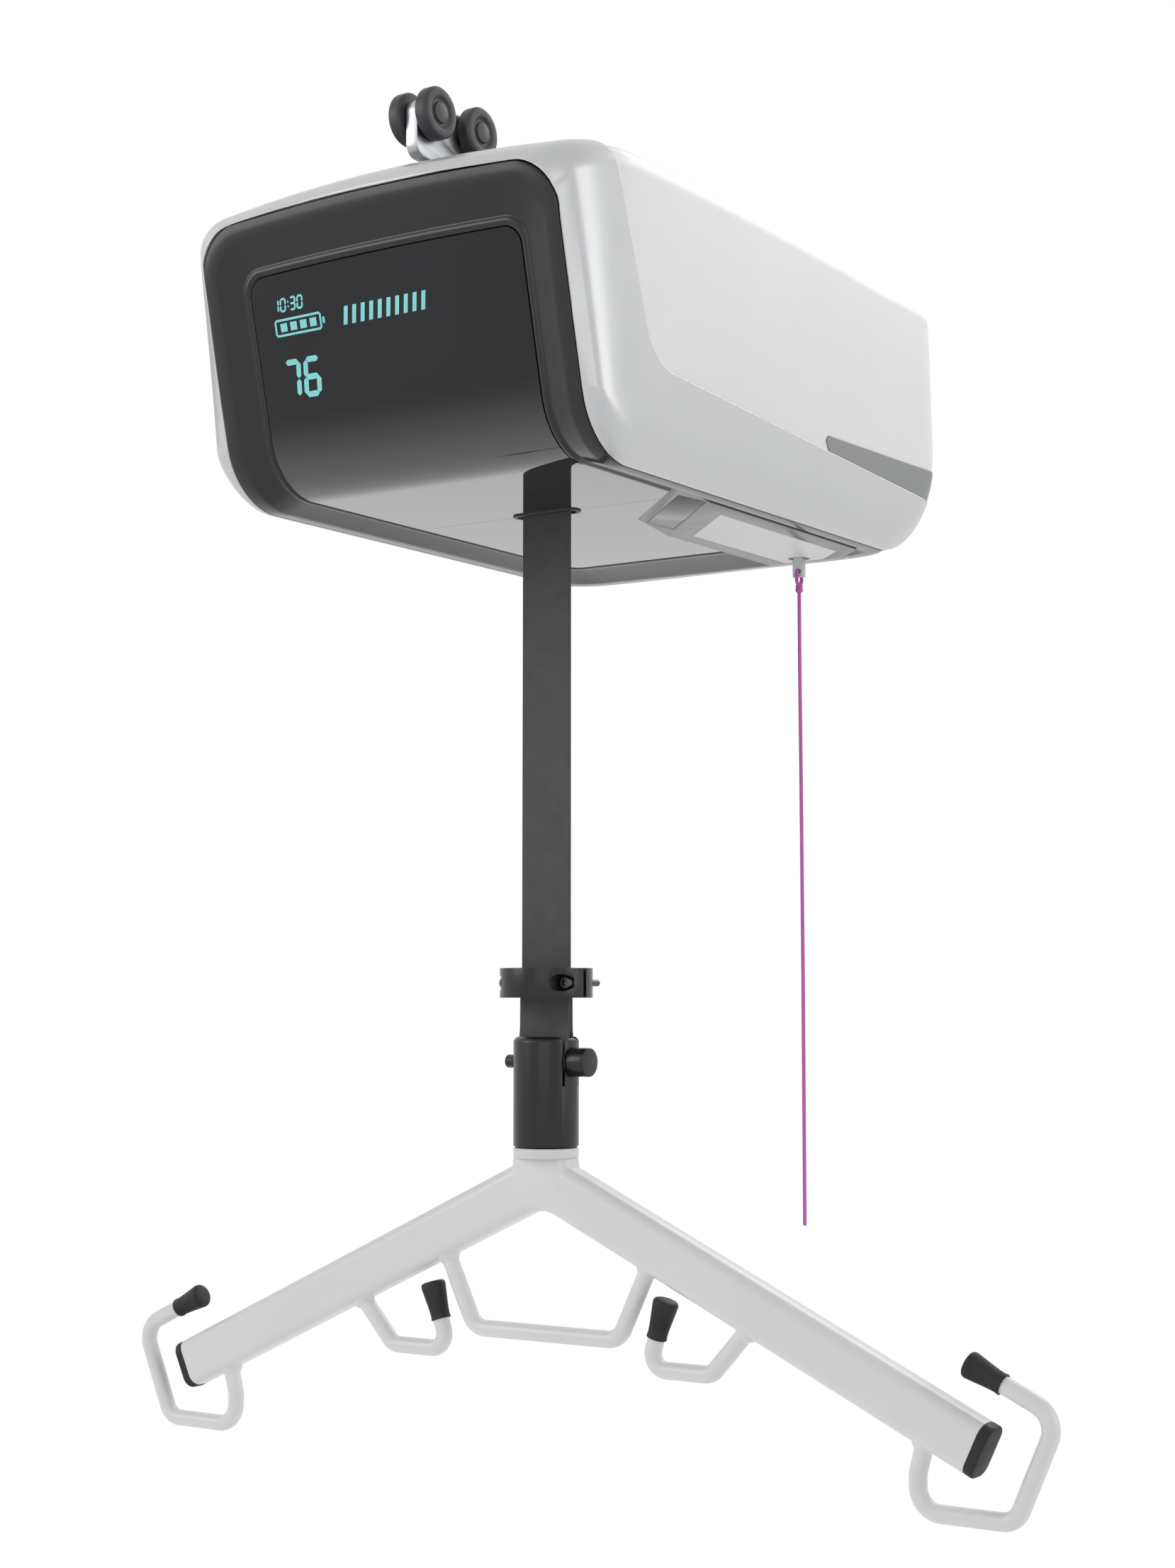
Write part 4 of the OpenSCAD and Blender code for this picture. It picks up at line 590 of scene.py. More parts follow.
FRONT_LEN = (FACE_TOP_Z - CHIN_TOP_Z) / cos(LEAN)
FACE_V_TOP = -CHIN_LEN - FRONT_LEN
FACE_V_REAR = FACE_REAR - CHIN_Y
FACE_V_FLAT = REAR_FLAT_Y - CHIN_Y
GLASS_HALF = 95
GLASS_T = 3
RECESS = 5
GLASS_V_TOP = FACE_V_TOP + 32.5
GLASS_V_REAR = 168 - CHIN_Y
GLASS_CORNER_R = 10
GLASS_FIT = 0.3
GLASS_SPLIT = 0.15
FACE_FIT = 0.9
FACE_CUT = 14
LIP_EDGE = 0.5
LOW_CORNER_W = HALF_W - FACE_HALF - LIP_EDGE
ARCH_Y = 40
ARCH_HALF = 150
ARCH_RISE = 2
CROWN_FADE = 70
BOW_FADE = 30
OVERRUN = 2
SIDE_REACH = 150
HOLE_DEPTH = 14
# The seam between front frame and hood: down the side, round a corner and back to the rear
SEAM_TOP_Y = -140
SEAM_CORNER_Y = -99
SEAM_CORNER_Z = -143
SEAM_CORNER_R = 30
SEAM_FALL = 22
SEAM_FIT = 0.3
# The grey band in the seam, with its round tip in degrees
BAND_FRONT_Y = 98
BAND_TIP_R = 5
BAND_TIP_FROM = 100
BAND_TIP_TURN = 70
BAND_RISE = 4
# Holes in the hood for the two trolley stems and the four screws
STEM_PLACES = [(0, -105, 0), (0, 185, 0)]
STEM_HOLE = [(14, -40), (14, 0)]
SCREW_PLACES = [(x, y, 0) for x in (-50, 50) for y in (-80, 130)]
SCREW_HOLE = [(4.15, -20), (4.15, 0)]
# The service panel's hole in plan, and the strap's slot as width, length and corner radius
PANEL_HOLE = [(36.2, 45.2), (112.3, -30.9), (112.3, 187.1), (90.1, 209.3), (36.2, 209.3)]
STRAP_SLOT = (47.4, 13.4, 6.6)

# Tables from the front face to the rear end of the chin's round: turn, way back, lips and low corner
TURN_SHARES = [0, 0.11, 0.25, 0.41, 0.61, 0.81, 1]
BACK_SHARES = [0, 0.09, 0.22, 0.42, 0.64, 0.83, 1]
SIDE_SHARES = [1, 0.5, 0.25, 0.11, 0.03, 0, 0]
TOP_SHARES = [1, 0.7, 0.46, 0.26, 0.12, 0.04, 0]
CORNER_SHARES = [0.03, 0.3, 0.5, 0.72, 0.92, 1, 1]
FRONT_STATIONS = [0, 1, 1.25, 1.5, 1.75] + [2 + i / 3 for i in range(13)]
BOW_START_SHARE = 0.45
REAR_LOW_SHARE = 0.45
REAR_TOP_SHARE = 0.4
REAR_CROWN_SHARE = 0.7
CLOSING_SHARES = (0.15, 0.3, 0.45, 0.6, 0.75, 0.88, 0.97)
# Steps of the meshes, and the length of a step along the bent sheet
CORNER_STEPS = 10
FLAT_STEPS = 8
MID_STEPS = 14
REAR_STEPS = 18
SEAM_STEPS = 20
TIP_STEPS = 8
SHEET_ROW = 4.5
END_SHARES = [1 - cos(pi / 2 * i / 9) for i in range(10)]
ACROSS_SHARES = [i / 12 for i in range(-12, 13)]
LOOP_CORNER_STEPS = 12
LOOP_ACROSS_STEPS = 24
LOOP_ALONG_STEPS = 96


def mix(a, b, t):
    return a + (b - a) * t


def clip(t):
    return min(1.0, max(0.0, t))


def flowing(table, t):
    """Reads a table on a smooth curve that never overshoots its entries."""
    last = len(table) - 1
    i = min(last - 1, int(t))
    s = t - i
    step = [table[k + 1] - table[k] for k in range(last)]

    def slope(k):
        if k in (0, last):
            return step[0] if k == 0 else step[-1]
        a, b = step[k - 1], step[k]
        return 0.0 if a * b <= 0 else 2 * a * b / (a + b)

    return (table[i] * (2 * s**3 - 3 * s**2 + 1) + slope(i) * (s**3 - 2 * s**2 + s)
            + table[i + 1] * (3 * s**2 - 2 * s**3) + slope(i + 1) * (s**3 - s**2))


def cross_section(w, low, high, rb, rt, bow=0.0, crown=TOP_CROWN):
    """One ring of the housing, between a low and a high point on its middle line."""
    top_w = w - TUMBLE - rt[0]
    half = [(i / FLAT_STEPS * (w - rb[0]), low[1]) for i in range(FLAT_STEPS)]
    for i in range(CORNER_STEPS + 1):
        a = pi / 2 * (i / CORNER_STEPS - 1)
        half.append((w - rb[0] + rb[0] * cos(a), low[1] + rb[1] + rb[1] * sin(a)))
    for i in range(CORNER_STEPS + 1):
        a = pi / 2 * i / CORNER_STEPS
        half.append((top_w + rt[0] * cos(a), high[1] - rt[1] + rt[1] * sin(a)))
    for i in range(FLAT_STEPS - 1, -1, -1):
        half.append((i / FLAT_STEPS * top_w, high[1] + crown * (1 - (i / FLAT_STEPS) ** 2)))
    ring = []
    for x, z in half + [(-x, z) for x, z in half[-2:0:-1]]:
        y = mix(low[0], high[0], (z - low[1]) / (high[1] - low[1])) - bow * (x / HALF_W) ** 2
        ring.append(Vector((x, y, z)) * MM)
    return ring


def arch(y):
    """How far the roof's middle line lies below its highest place."""
    return ARCH_RISE * ((y - ARCH_Y) / ARCH_HALF) ** 2


def front_ring(t, inset):
    a = LEAN + TURN * flowing(TURN_SHARES, t)
    back = flowing(BACK_SHARES, t)
    w = HALF_W - LIP_W * flowing(SIDE_SHARES, t) - inset
    low = (CHIN_Y - (CHIN_R - inset) * cos(a), CHIN_Z - (CHIN_R - inset) * sin(a))
    top = mix(-FRONT - LIP_EDGE * tan(LEAN), CHIN_Y, back)
    high = (top + inset * (1 - back) / cos(LEAN),
            SHOULDER_Z - arch(top) - LIP_TOP * flowing(TOP_SHARES, t) - inset)
    rb = max(LIP_EDGE, w + inset - FACE_HALF - LIP_EDGE)
    return cross_section(w, low, high, (rb, LOW_CORNER_H * flowing(CORNER_SHARES, t)), TOP_CORNER)


def mid_ring(s, inset):
    y = mix(CHIN_Y, REAR_FLAT_Y, s)
    bow = REAR_BOW * clip((s - BOW_START_SHARE) / (1 - BOW_START_SHARE)) ** 2
    return cross_section(HALF_W - inset, (y, BOTTOM_Z + inset), (y, SHOULDER_Z - arch(y) - inset),
                         (LOW_CORNER_W, LOW_CORNER_H), TOP_CORNER, bow)


def rear_ring(s, inset):
    end = REAR - inset
    y = mix(REAR_FLAT_Y, end, s)
    near_end = clip((y - end + REAR_ROUND) / REAR_ROUND)
    round_off = 1 - sqrt(1 - near_end ** 2)
    low = mix(BOTTOM_Z + inset, REAR_MID_Z, 1 - sqrt(1 - s * s))
    high = SHOULDER_Z - arch(REAR_FLAT_Y) - inset - REAR_ROUND * round_off
    room = high - low
    return cross_section(HALF_W - inset - REAR_ROUND * round_off, (y, low), (y, high),
                         (LOW_CORNER_W, min(LOW_CORNER_H, REAR_LOW_SHARE * room)),
                         (TOP_CORNER[0], min(TOP_CORNER[1], REAR_TOP_SHARE * room)), REAR_BOW,
                         TOP_CROWN * sqrt(1 - REAR_CROWN_SHARE * near_end))


def closing_ring(ring, t):
    """The last ring drawn in towards the middle of the bowed rear face."""
    middle = sum(p.z for p in ring) / len(ring)
    closed = []
    for p in ring:
        x = p.x * (1 - t)
        rise = REAR_BOW * MM * (p.x**2 - x**2) / (HALF_W * MM) ** 2
        closed.append(Vector((x, p.y + rise, mix(p.z, middle, t))))
    return closed


def housing_form(inset):
    """The closed outer form of the housing, drawn in by an inset."""
    rings = [front_ring(t, inset) for t in FRONT_STATIONS]
    rings += [mid_ring(i / MID_STEPS, inset) for i in range(1, MID_STEPS + 1)]
    rings += [rear_ring(sin(pi / 2 * i / REAR_STEPS), inset) for i in range(1, REAR_STEPS + 1)]
    rings += [closing_ring(rings[-1], t) for t in CLOSING_SHARES]
    return loft(rings)


def bent(u, v0, n):
    """A point of the sheet that runs down the front, round the chin and along the underside."""
    crown = FACE_CROWN * (1 - (u / FACE_HALF) ** 2) * clip((v0 - FACE_V_TOP - CROWN_FADE) / -CROWN_FADE)
    bow = REAR_BOW * (u / HALF_W) ** 2 * clip((v0 - FACE_V_REAR + BOW_FADE) / BOW_FADE)
    v = v0 - crown - bow
    s = -v - CHIN_LEN
    if v > FACE_V_FLAT:
        b = (v - FACE_V_FLAT) / REAR_ROLL_R
        r = REAR_ROLL_R + n
        point = (u, REAR_FLAT_Y + r * sin(b), BOTTOM_Z + REAR_ROLL_R - r * cos(b))
    elif v >= 0:
        point = (u, CHIN_Y + v, BOTTOM_Z - n)
    elif s <= 0:
        a = -v / CHIN_R
        point = (u, CHIN_Y - (CHIN_R + n) * sin(a), CHIN_Z - (CHIN_R + n) * cos(a))
    else:
        point = (u, CHIN_TOP_Y - s * sin(LEAN) - n * cos(LEAN), CHIN_TOP_Z + s * cos(LEAN) - n * sin(LEAN))
    return Vector(point) * MM


def bent_sheet(half, low, high, r_low, r_high, n_out, n_in):
    """A plate along the bent sheet between two heights over it, round at the ends that have a radius."""

    def end(edge, r, way):
        if not r:
            return [(edge, half)]
        return [(edge + way * r * s, half - r + r * sqrt(1 - (1 - s) ** 2)) for s in END_SHARES]

    count = int((high - r_high - low - r_low) / SHEET_ROW)
    straight = [(mix(low + r_low, high - r_high, i / count), half) for i in range(1, count)]
    rings = []
    for v, w in end(low, r_low, 1) + straight + end(high, r_high, -1)[::-1]:
        outer = [bent(s * w, v, n_out) for s in ACROSS_SHARES]
        inner = [bent(s * w, v, n_in) for s in reversed(ACROSS_SHARES)]
        rings.append(outer + inner)
    return loft(rings)


def unit(deg):
    return Vector((cos(radians(deg)), sin(radians(deg))))


def arc(centre, r, start, turn, steps):
    return [tuple(centre + r * unit(start + turn * i / steps)) for i in range(steps + 1)]


def seam_z(y):
    """Height of the seam's long run to the rear."""
    return SEAM_CORNER_Z - SEAM_FALL / (REAR - SEAM_CORNER_Y) * (y - SEAM_CORNER_Y)


def seam_outline(grow):
    """Side view of everything behind and above the seam between front frame and hood."""
    slope = degrees(atan2(SEAM_CORNER_Z - CROWN_Z, SEAM_CORNER_Y - SEAM_TOP_Y))
    corner = Vector((SEAM_CORNER_Y, SEAM_CORNER_Z))
    fall = degrees(atan2(-SEAM_FALL, REAR - SEAM_CORNER_Y))
    turn = fall - slope
    centre = corner - SEAM_CORNER_R * tan(radians(turn / 2)) * unit(slope) + SEAM_CORNER_R * unit(slope + 90)
    bend = arc(centre, SEAM_CORNER_R + grow, slope - 90, turn, SEAM_STEPS)
    top = CROWN_Z + OVERRUN
    back = REAR + OVERRUN
    return [(SEAM_TOP_Y - grow, top)] + bend + [(back, SEAM_CORNER_Z - SEAM_FALL - grow), (back, top)]


def band_outline(grow):
    """Side view of the grey band, from just below the seam to its own upper edge."""
    foot = BAND_FRONT_Y + BAND_TIP_R
    back = REAR + OVERRUN
    tip = Vector((foot, seam_z(BAND_FRONT_Y) + BAND_TIP_R))
    nose = arc(tip, BAND_TIP_R + grow, BAND_TIP_FROM, BAND_TIP_TURN, TIP_STEPS)
    return nose + [(foot, seam_z(foot) - OVERRUN), (back, seam_z(REAR) - OVERRUN),
                   (back, tip.y + (BAND_TIP_R + BAND_RISE) + grow)]


def side_block(outline):
    return prism(outline, "x", -SIDE_REACH, SIDE_REACH)


def underside_block(outline):
    return prism(outline, "z", BOTTOM_Z - OVERRUN, BOTTOM_Z + HOLE_DEPTH)


def front_frame():
    shell = housing_form(0)
    cut(shell, housing_form(SHELL_T))
    cut(shell, side_block(seam_outline(0)))
    r = FACE_CORNER_R
    cut(shell, bent_sheet(FACE_HALF, FACE_V_TOP, FACE_V_REAR, r, r, FACE_CUT, -FACE_CUT))
    own(shell, "front_shell", SILVER, "front_frame")


def hood():
    shell = housing_form(HOOD_INSET)
    cut(shell, housing_form(HOOD_INSET + SHELL_T))
    cut(shell, side_block(seam_outline(-SEAM_FIT)), "INTERSECT")
    cut(shell, side_block(band_outline(SEAM_FIT)))
    for places, hole, sides in ((STEM_PLACES, STEM_HOLE, 48), (SCREW_PLACES, SCREW_HOLE, 32)):
        for place in places:
            cut(shell, turned(hole, place, (0, 0, 1), sides))
    own(shell, "hood_shell", WHITE, "hood")


def rear_band():
    shell = housing_form(HOOD_INSET / 2)
    cut(shell, side_block(band_outline(0)), "INTERSECT")
    cut(shell, side_block(seam_outline(-SEAM_FIT)), "INTERSECT")
    cut(shell, housing_form(HOOD_INSET + SHELL_T))
    own(shell, "rear_band_cover", GREY, "rear_band")


def surround_loop(half, low, high, r):
    """Points round a rounded opening in the bent sheet, as many on each side whatever its size."""
    turns = [pi / 2 * i / LOOP_CORNER_STEPS for i in range(LOOP_CORNER_STEPS)]
    across = [2 * i / LOOP_ACROSS_STEPS - 1 for i in range(LOOP_ACROSS_STEPS)]
    along = [i / LOOP_ALONG_STEPS for i in range(LOOP_ALONG_STEPS)]
    points = [(s * (half - r), low) for s in across]
    points += [(half - r + r * sin(a), low + r - r * cos(a)) for a in turns]
    points += [(half, mix(low + r, high - r, s)) for s in along]
    points += [(half - r + r * cos(a), high - r + r * sin(a)) for a in turns]
    return points + [(-u, low + high - v) for u, v in points]


# Across the dark surround: share of the way in, and depth below the rim
SURROUND_PROFILE = [
    (0, -0.5), (0.012, -0.12), (0.03, 0), (0.28, 0), (0.31, -0.12), (0.345, -0.5), (0.8, -5.2),
    (0.825, -5.35), (0.845, -5.1), (0.865, -4.5), (0.89, -4.25), (0.92, -4.2), (0.95, -4.35),
    (0.975, -4.8), (1, -5.8), (1, -8.6), (0.82, -8.9), (0.33, -4.2), (0, -4),
]


def face_frame():
    outer = surround_loop(FACE_HALF - FACE_FIT, FACE_V_TOP + FACE_FIT, FACE_V_REAR - FACE_FIT, FACE_CORNER_R)
    inner = surround_loop(GLASS_HALF + GLASS_FIT, GLASS_V_TOP - GLASS_FIT, GLASS_V_REAR + GLASS_FIT,
                          GLASS_CORNER_R + GLASS_FIT)
    rings = [[bent(mix(a[0], b[0], share), mix(a[1], b[1], share), depth) for a, b in zip(outer, inner)]
             for share, depth in SURROUND_PROFILE]
    surround = loft(rings, ends=False)
    cut(surround, underside_block(PANEL_HOLE))
    own(surround, "dark_surround", DARK, "face_frame", angle=50)


def glass_sheet(name, node, low, high, r_low, r_high):
    sheet = bent_sheet(GLASS_HALF, low, high, r_low, r_high, -RECESS, -RECESS - GLASS_T)
    cut(sheet, underside_block(PANEL_HOLE))
    cut(sheet, underside_block(rounded(*STRAP_SLOT)))
    own(sheet, name, GLASS, node)


# The back and front of the lit plates, then shares of a stroke's width, a figure's height or its width
LIT_LEVELS = (-RECESS - 0.2, -RECESS + 0.12)
POINT_SHARE = 0.1
DOT_HALF_SHARE = 0.6
LEAN_SHARE = 0.12
DOT_RISE_SHARES = (0.3, 0.7)
DOT_PLACE_SHARE = 0.2
DOT_STEP_SHARE = 0.55
FIGURE_STEP_SHARE = 1.55
# The seven strokes from end to end in a figure's own box, and which of them each figure lights
STROKE_ENDS = {"a": (0, 1, 1, 1), "b": (1, 1, 1, 0.5), "c": (1, 0.5, 1, 0), "d": (0, 0, 1, 0),
               "e": (0, 0, 0, 0.5), "f": (0, 0.5, 0, 1), "g": (0, 0.5, 1, 0.5)}
STROKES_OF = {"0": "abcdef", "1": "bc", "3": "abgcd", "6": "afgedc", "7": "abc"}
# Places on the front: across, and height
METER_BAR = [(0, -109.6), (2.7, -109.6), (4.6, -100.4), (1.9, -100.4)]
BATTERY_CASE = [(-80, -101), (-47, -101), (-47, -109), (-80, -109)]
BATTERY_END = [(-44.8, -103), (-44.8, -107)]
BATTERY_BAR = [(0, -107.2), (4.8, -107.2), (4.8, -102.8), (0, -102.8)]


def lit_plate(outline):
    """A thin lit plate on the display, from points of the sheet."""
    return loft([[bent(u, v, n) for u, v in outline] for n in LIT_LEVELS])


def on_front(x, z):
    return x, -CHIN_LEN - (z - CHIN_TOP_Z) / cos(LEAN)


def bar_stroke(x0, z0, x1, z1, w):
    """Outline of a straight stroke with pointed ends, between two places of the front."""
    a, b = Vector((x0, z0)), Vector((x1, z1))
    along = (b - a).normalized()
    side = Vector((-along.y, along.x)) * w / 2
    tip = along * w / 2
    points = [a + tip * POINT_SHARE, a + tip + side, b - tip + side, b - tip * POINT_SHARE, b - tip - side,
              a + tip - side]
    return [on_front(p.x, p.y) for p in points]


def figures(text, x, z, h, w, stroke):
    """Seven-stroke figures of height h from a left edge and a base line."""
    lean = LEAN_SHARE * h
    outlines = []
    for letter in text:
        if letter == ":":
            middle, half = x + w * DOT_PLACE_SHARE, stroke * DOT_HALF_SHARE
            for dot in [z + h * share for share in DOT_RISE_SHARES]:
                outlines.append(bar_stroke(middle, dot - half, middle, dot + half, stroke))
            x += w * DOT_STEP_SHARE
            continue
        for key in STROKES_OF[letter]:
            a, b, c, d = STROKE_ENDS[key]
            start, stop = (x + a * w + b * lean, z + b * h), (x + c * w + d * lean, z + d * h)
            outlines.append(bar_stroke(*start, *stop, stroke))
        x += w * FIGURE_STEP_SHARE
    return outlines


def row_of(outline, start, pitch, count):
    """Copies of an outline, side by side on the front."""
    return [[on_front(start + i * pitch + x, z) for x, z in outline] for i in range(count)]


def display_lights():
    """A time, a number of two figures, ten slanted strokes and a battery with four bars."""
    outlines = figures("10:30", x=-80, z=-96.5, h=6.2, w=3.4, stroke=1.1)
    outlines += figures("76", x=-79, z=-143, h=19, w=9.5, stroke=3.2)
    outlines += row_of(METER_BAR, start=-31, pitch=6.1, count=10)
    for a, b in zip(BATTERY_CASE, BATTERY_CASE[1:] + BATTERY_CASE[:1]):
        outlines.append(bar_stroke(*a, *b, w=1.2))
    outlines.append(bar_stroke(*BATTERY_END[0], *BATTERY_END[1], w=1.6))
    outlines += row_of(BATTERY_BAR, start=-76.5, pitch=7.2, count=4)
    lit = joined([lit_plate(outline) for outline in outlines])
    own(lit, "display_lights", LIT, "display_glass", angle=30, replaces=False)


front_frame()
hood()
rear_band()
face_frame()
glass_sheet("display_glass_sheet", "display_glass", GLASS_V_TOP, -CHIN_Y - GLASS_SPLIT, GLASS_CORNER_R, 0)
glass_sheet("belly_glass_sheet", "belly_glass", -CHIN_Y + GLASS_SPLIT, GLASS_V_REAR, 0, GLASS_CORNER_R)
display_lights()
eased("service_panel", "service_cover", PANEL, 0.8, 3)
eased("sensor_window", "sensor_lens", WINDOW, 0.25)
eased("label_plate", "blank_label", LABEL, 0.2)
eased("strap_guide", "strap_mouth", BLACK_PLASTIC, 0.5)

# Strap and its end, in millimetres

STRAP_W = 35
STRAP_T = 2
STRAP_RIBS = 7
RIB_DEPTH = 0.07
EDGE_STEPS = 3
FACE_STEPS = 56
STRAP_ROWS = 40
CLAMP_TOP_Z = -467.5
CLAMP_LOW_Z = -485
BARREL_TOP_Z = -507.8
PIN_Z = -522.8
PIN_R = 4
PIN_STEPS = 16
# The doubled end: wider and thinner than the strap, with each leaf off the middle, opening below the clamp
TAIL_W = STRAP_W + 0.9
TAIL_T = STRAP_T - 0.1
TAIL_FIT = 0.05
LEAF_Y = 1.15
LEAF_OPEN = 0.2
LEAF_OPEN_Z = BARREL_TOP_Z + 6
LEAF_STEPS = 8
# Rows of stitches, and how far down a stitch its thread starts, comes out, turns in and ends
STITCH_XS = (-13, -4.3, 4.3, 13)
STITCH_TOP_Z = -488.2
STITCH_PITCH = 4.1
STITCH_COUNT = 4
STITCH_Y = 2.15
STITCH_SINK = 0.28
STITCH_DROPS = (0, 0.5, 2.1, 2.6)
THREAD_R = 0.24
# The strap on the drum, from the drum's middle
DRUM = Vector((0, 42.3, -100))
ROLL_R = 26.1
ROLL_PITCH = 1.95
ROLL_TURNS = 7.6
ROLL_STEPS = 36
ROLL_CORNERS = [(-17.4, -0.95), (17.4, -0.95), (17.4, 0.95), (-17.4, 0.95)]
# The clamp's bolts, with the profiles of head, hexagon socket and shank
BOLT_X = 21.9
BOLT_Z = -476.25
BOLT_HEAD_Y = -13
BOLT_SHANK_Y = -9.5
BOLT_HEAD = [(0.01, 0), (3.2, 0), (3.5, 0.3), (3.5, 3.7), (3.2, 4), (0.01, 4)]
BOLT_SOCKET = [(1.75, -1), (1.75, 2.2), (0.2, 2.9)]
BOLT_SHANK = [(0.01, 0), (2, 0), (2, 31.2), (1.5, 32), (0.01, 32)]


def strap_section(w, t):
    """Half-round edges and shallow lengthwise ribs, as (across, thickness) points."""
    edge = t / 2
    half = []
    for k in range(2 * EDGE_STEPS + 1):
        a = pi / 2 * (k / EDGE_STEPS - 1)
        half.append((w / 2 - edge + edge * cos(a), edge * sin(a)))
    for i in range(1, FACE_STEPS):
        s = 1 - 2 * i / FACE_STEPS
        half.append((s * (w / 2 - edge), edge - RIB_DEPTH + RIB_DEPTH * cos(pi * STRAP_RIBS * s) ** 2))
    return half + [(-x, -y) for x, y in half]


def strap_run():
    section = strap_section(STRAP_W, STRAP_T)
    top, low = DRUM.z, CLAMP_TOP_Z
    rows = [mix(top, low, i / STRAP_ROWS) for i in range(STRAP_ROWS + 1)]
    strap = loft([[Vector((x, y, z)) * MM for x, y in section] for z in rows])
    own(strap, "lifting_strap", WEBBING, "strap_run", rides=False)
    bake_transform(strap)


def strap_tail():
    """The doubled end of the strap: down from the clamp, round the cross pin and back up."""
    section = strap_section(TAIL_W, TAIL_T)
    r = PIN_R + STRAP_T / 2 + TAIL_FIT
    neck = -LEAF_Y - LEAF_OPEN
    down = [(-LEAF_Y, CLAMP_TOP_Z - LEAF_OPEN), (-LEAF_Y, CLAMP_LOW_Z), (neck, LEAF_OPEN_Z)]
    for s in [i / LEAF_STEPS for i in range(1, LEAF_STEPS + 1)]:
        down.append((mix(neck, -r, s * s * (3 - 2 * s)), mix(LEAF_OPEN_Z, PIN_Z, s)))
    turns = [pi * i / PIN_STEPS for i in range(1, PIN_STEPS)]
    line = down + [(-r * cos(a), PIN_Z - r * sin(a)) for a in turns] + [(-y, z) for y, z in reversed(down)]
    rings = []
    for i, (y, z) in enumerate(line):
        a, b = line[max(0, i - 1)], line[min(len(line) - 1, i + 1)]
        along = Vector((b[0] - a[0], b[1] - a[1])).normalized()
        rings.append([Vector((x, y - along.y * t, z + along.x * t)) * MM for x, t in section])
    own(loft(rings), "strap_end_loop", WEBBING, "strap_tail")


def stitches():
    """Rows of thread that hold the doubled strap, on both faces."""
    rows = []
    for face in (-1, 1):
        out = face * STITCH_Y
        sunk = out - face * STITCH_SINK
        for x in STITCH_XS:
            for i in range(STITCH_COUNT):
                z = STITCH_TOP_Z - i * STITCH_PITCH
                line = [Vector((x, y, z - drop)) for y, drop in zip((sunk, out, out, sunk), STITCH_DROPS)]
                rows.append(swept(line, THREAD_R, Vector((1, 0, 0)), 8))
    own(joined(rows), "strap_stitches", THREAD, "strap_tail", replaces=False)


def strap_roll():
    """The strap wound on the drum, as one spiral."""
    rings = []
    for i in range(int(ROLL_TURNS * ROLL_STEPS) + 1):
        a = 2 * pi * i / ROLL_STEPS
        r = ROLL_R + ROLL_PITCH * i / ROLL_STEPS
        way = Vector((0, cos(a), sin(a)))
        rings.append([(DRUM + Vector((x, 0, 0)) + way * (r + t)) * MM for x, t in ROLL_CORNERS])
    own(loft(rings), "wound_strap", WEBBING, "strap_roll")


def clamp_bolts():
    along = (0, 1, 0)
    bolts = []
    for x in (-BOLT_X, BOLT_X):
        bolt = turned(BOLT_HEAD, (x, BOLT_HEAD_Y, BOLT_Z), along, 32)
        cut(bolt, turned(BOLT_SOCKET, (x, BOLT_HEAD_Y, BOLT_Z), along, 6))
        cut(bolt, turned(BOLT_SHANK, (x, BOLT_SHANK_Y, BOLT_Z), along, 24), "UNION")
        bolts.append(bolt)
    own(joined(bolts), "clamp_bolts", BLACK_STEEL, "clamp_screws", angle=30)


strap_run()
strap_tail()
stitches()
strap_roll()
eased("clamp_front", "clamp_half_front", BLACK_COAT, 0.6, 3)
eased("clamp_rear", "clamp_half_rear", BLACK_COAT, 0.6, 3)
clamp_bolts()
eased("barrel", "swivel_barrel", BLACK_COAT, 0.5, 3)
eased("cross_pin", "barrel_pin", BLACK_COAT, 0.8, 3)
eased("swivel_collar", "white_collar", WHITE_PLASTIC, 0.9, 3)

# Spreader bar, in millimetres

ARM_L = 304.5
ARM_DROP = radians(25)
ARM_Z = -591.1
ARM_H, ARM_T, ARM_R = 30, 20, 7
ARM_STEPS = 8
CROTCH_R = 24
CROTCH_STEPS = 16
# From the foot up: width, depth, corner radius, and height over the place where the arms meet
HUB_RINGS = [(46, 20.4, 7, -7), (42, 20.4, 7, 2), (40.6, 20.3, 7, 7), (40, 20.2, 7, 11),
             (39.4, 19.6, 6.9, 11.8), (38.6, 19, 6.6, 12)]
ROD_R = 5
ROD_ROOT = 8
BEND_STEPS = 12
# Rods in shares of an arm's length: across from the bar's middle, and down from the arm over their root
LOOP_SHARES = [(0.2332, 0), (0.1691, 0.1341)]
INNER_SHARES = [(0.4466, 0), (0.3727, 0.0822), (0.2342, 0.0822)]
OUTER_SHARES = [(0.8046, 0), (0.7915, 0.1140), (0.9754, 0.1140), (1.0558, -0.0700)]
INNER_RISE = 0.1018 * ARM_L
INNER_LEAN = radians(17.5)
OUTER_START = 20
OUTER_BACK = 0.1412 * ARM_L
LOOP_BENDS = [12, 12]
INNER_BENDS = [10, 9]
OUTER_BENDS = [20, 13, 12, 14]
WELD_PROFILE = [(6.6, -4), (7.1, -1.5), (6.9, 0.2), (6.1, 1.5), (5.4, 2.6), (4.9, 3.4)]
# A rubber tip from its rolled rim to its domed end, and how far it goes over its rod
TIP_PROFILE = [(5.1, 0.4), (5.5, 0), (5.9, 0.15), (6.05, 0.7), (5.85, 1.5), (5.75, 3), (5.9, 6), (6.3, 10),
               (6.8, 14), (7.2, 17.5), (7.45, 19.6), (7.5, 20.6), (7.3, 21.7), (6.7, 22.5), (5.6, 22.9),
               (3, 23), (0.02, 23)]
TIP_BORE = 14
ROUND_SIDES = 40


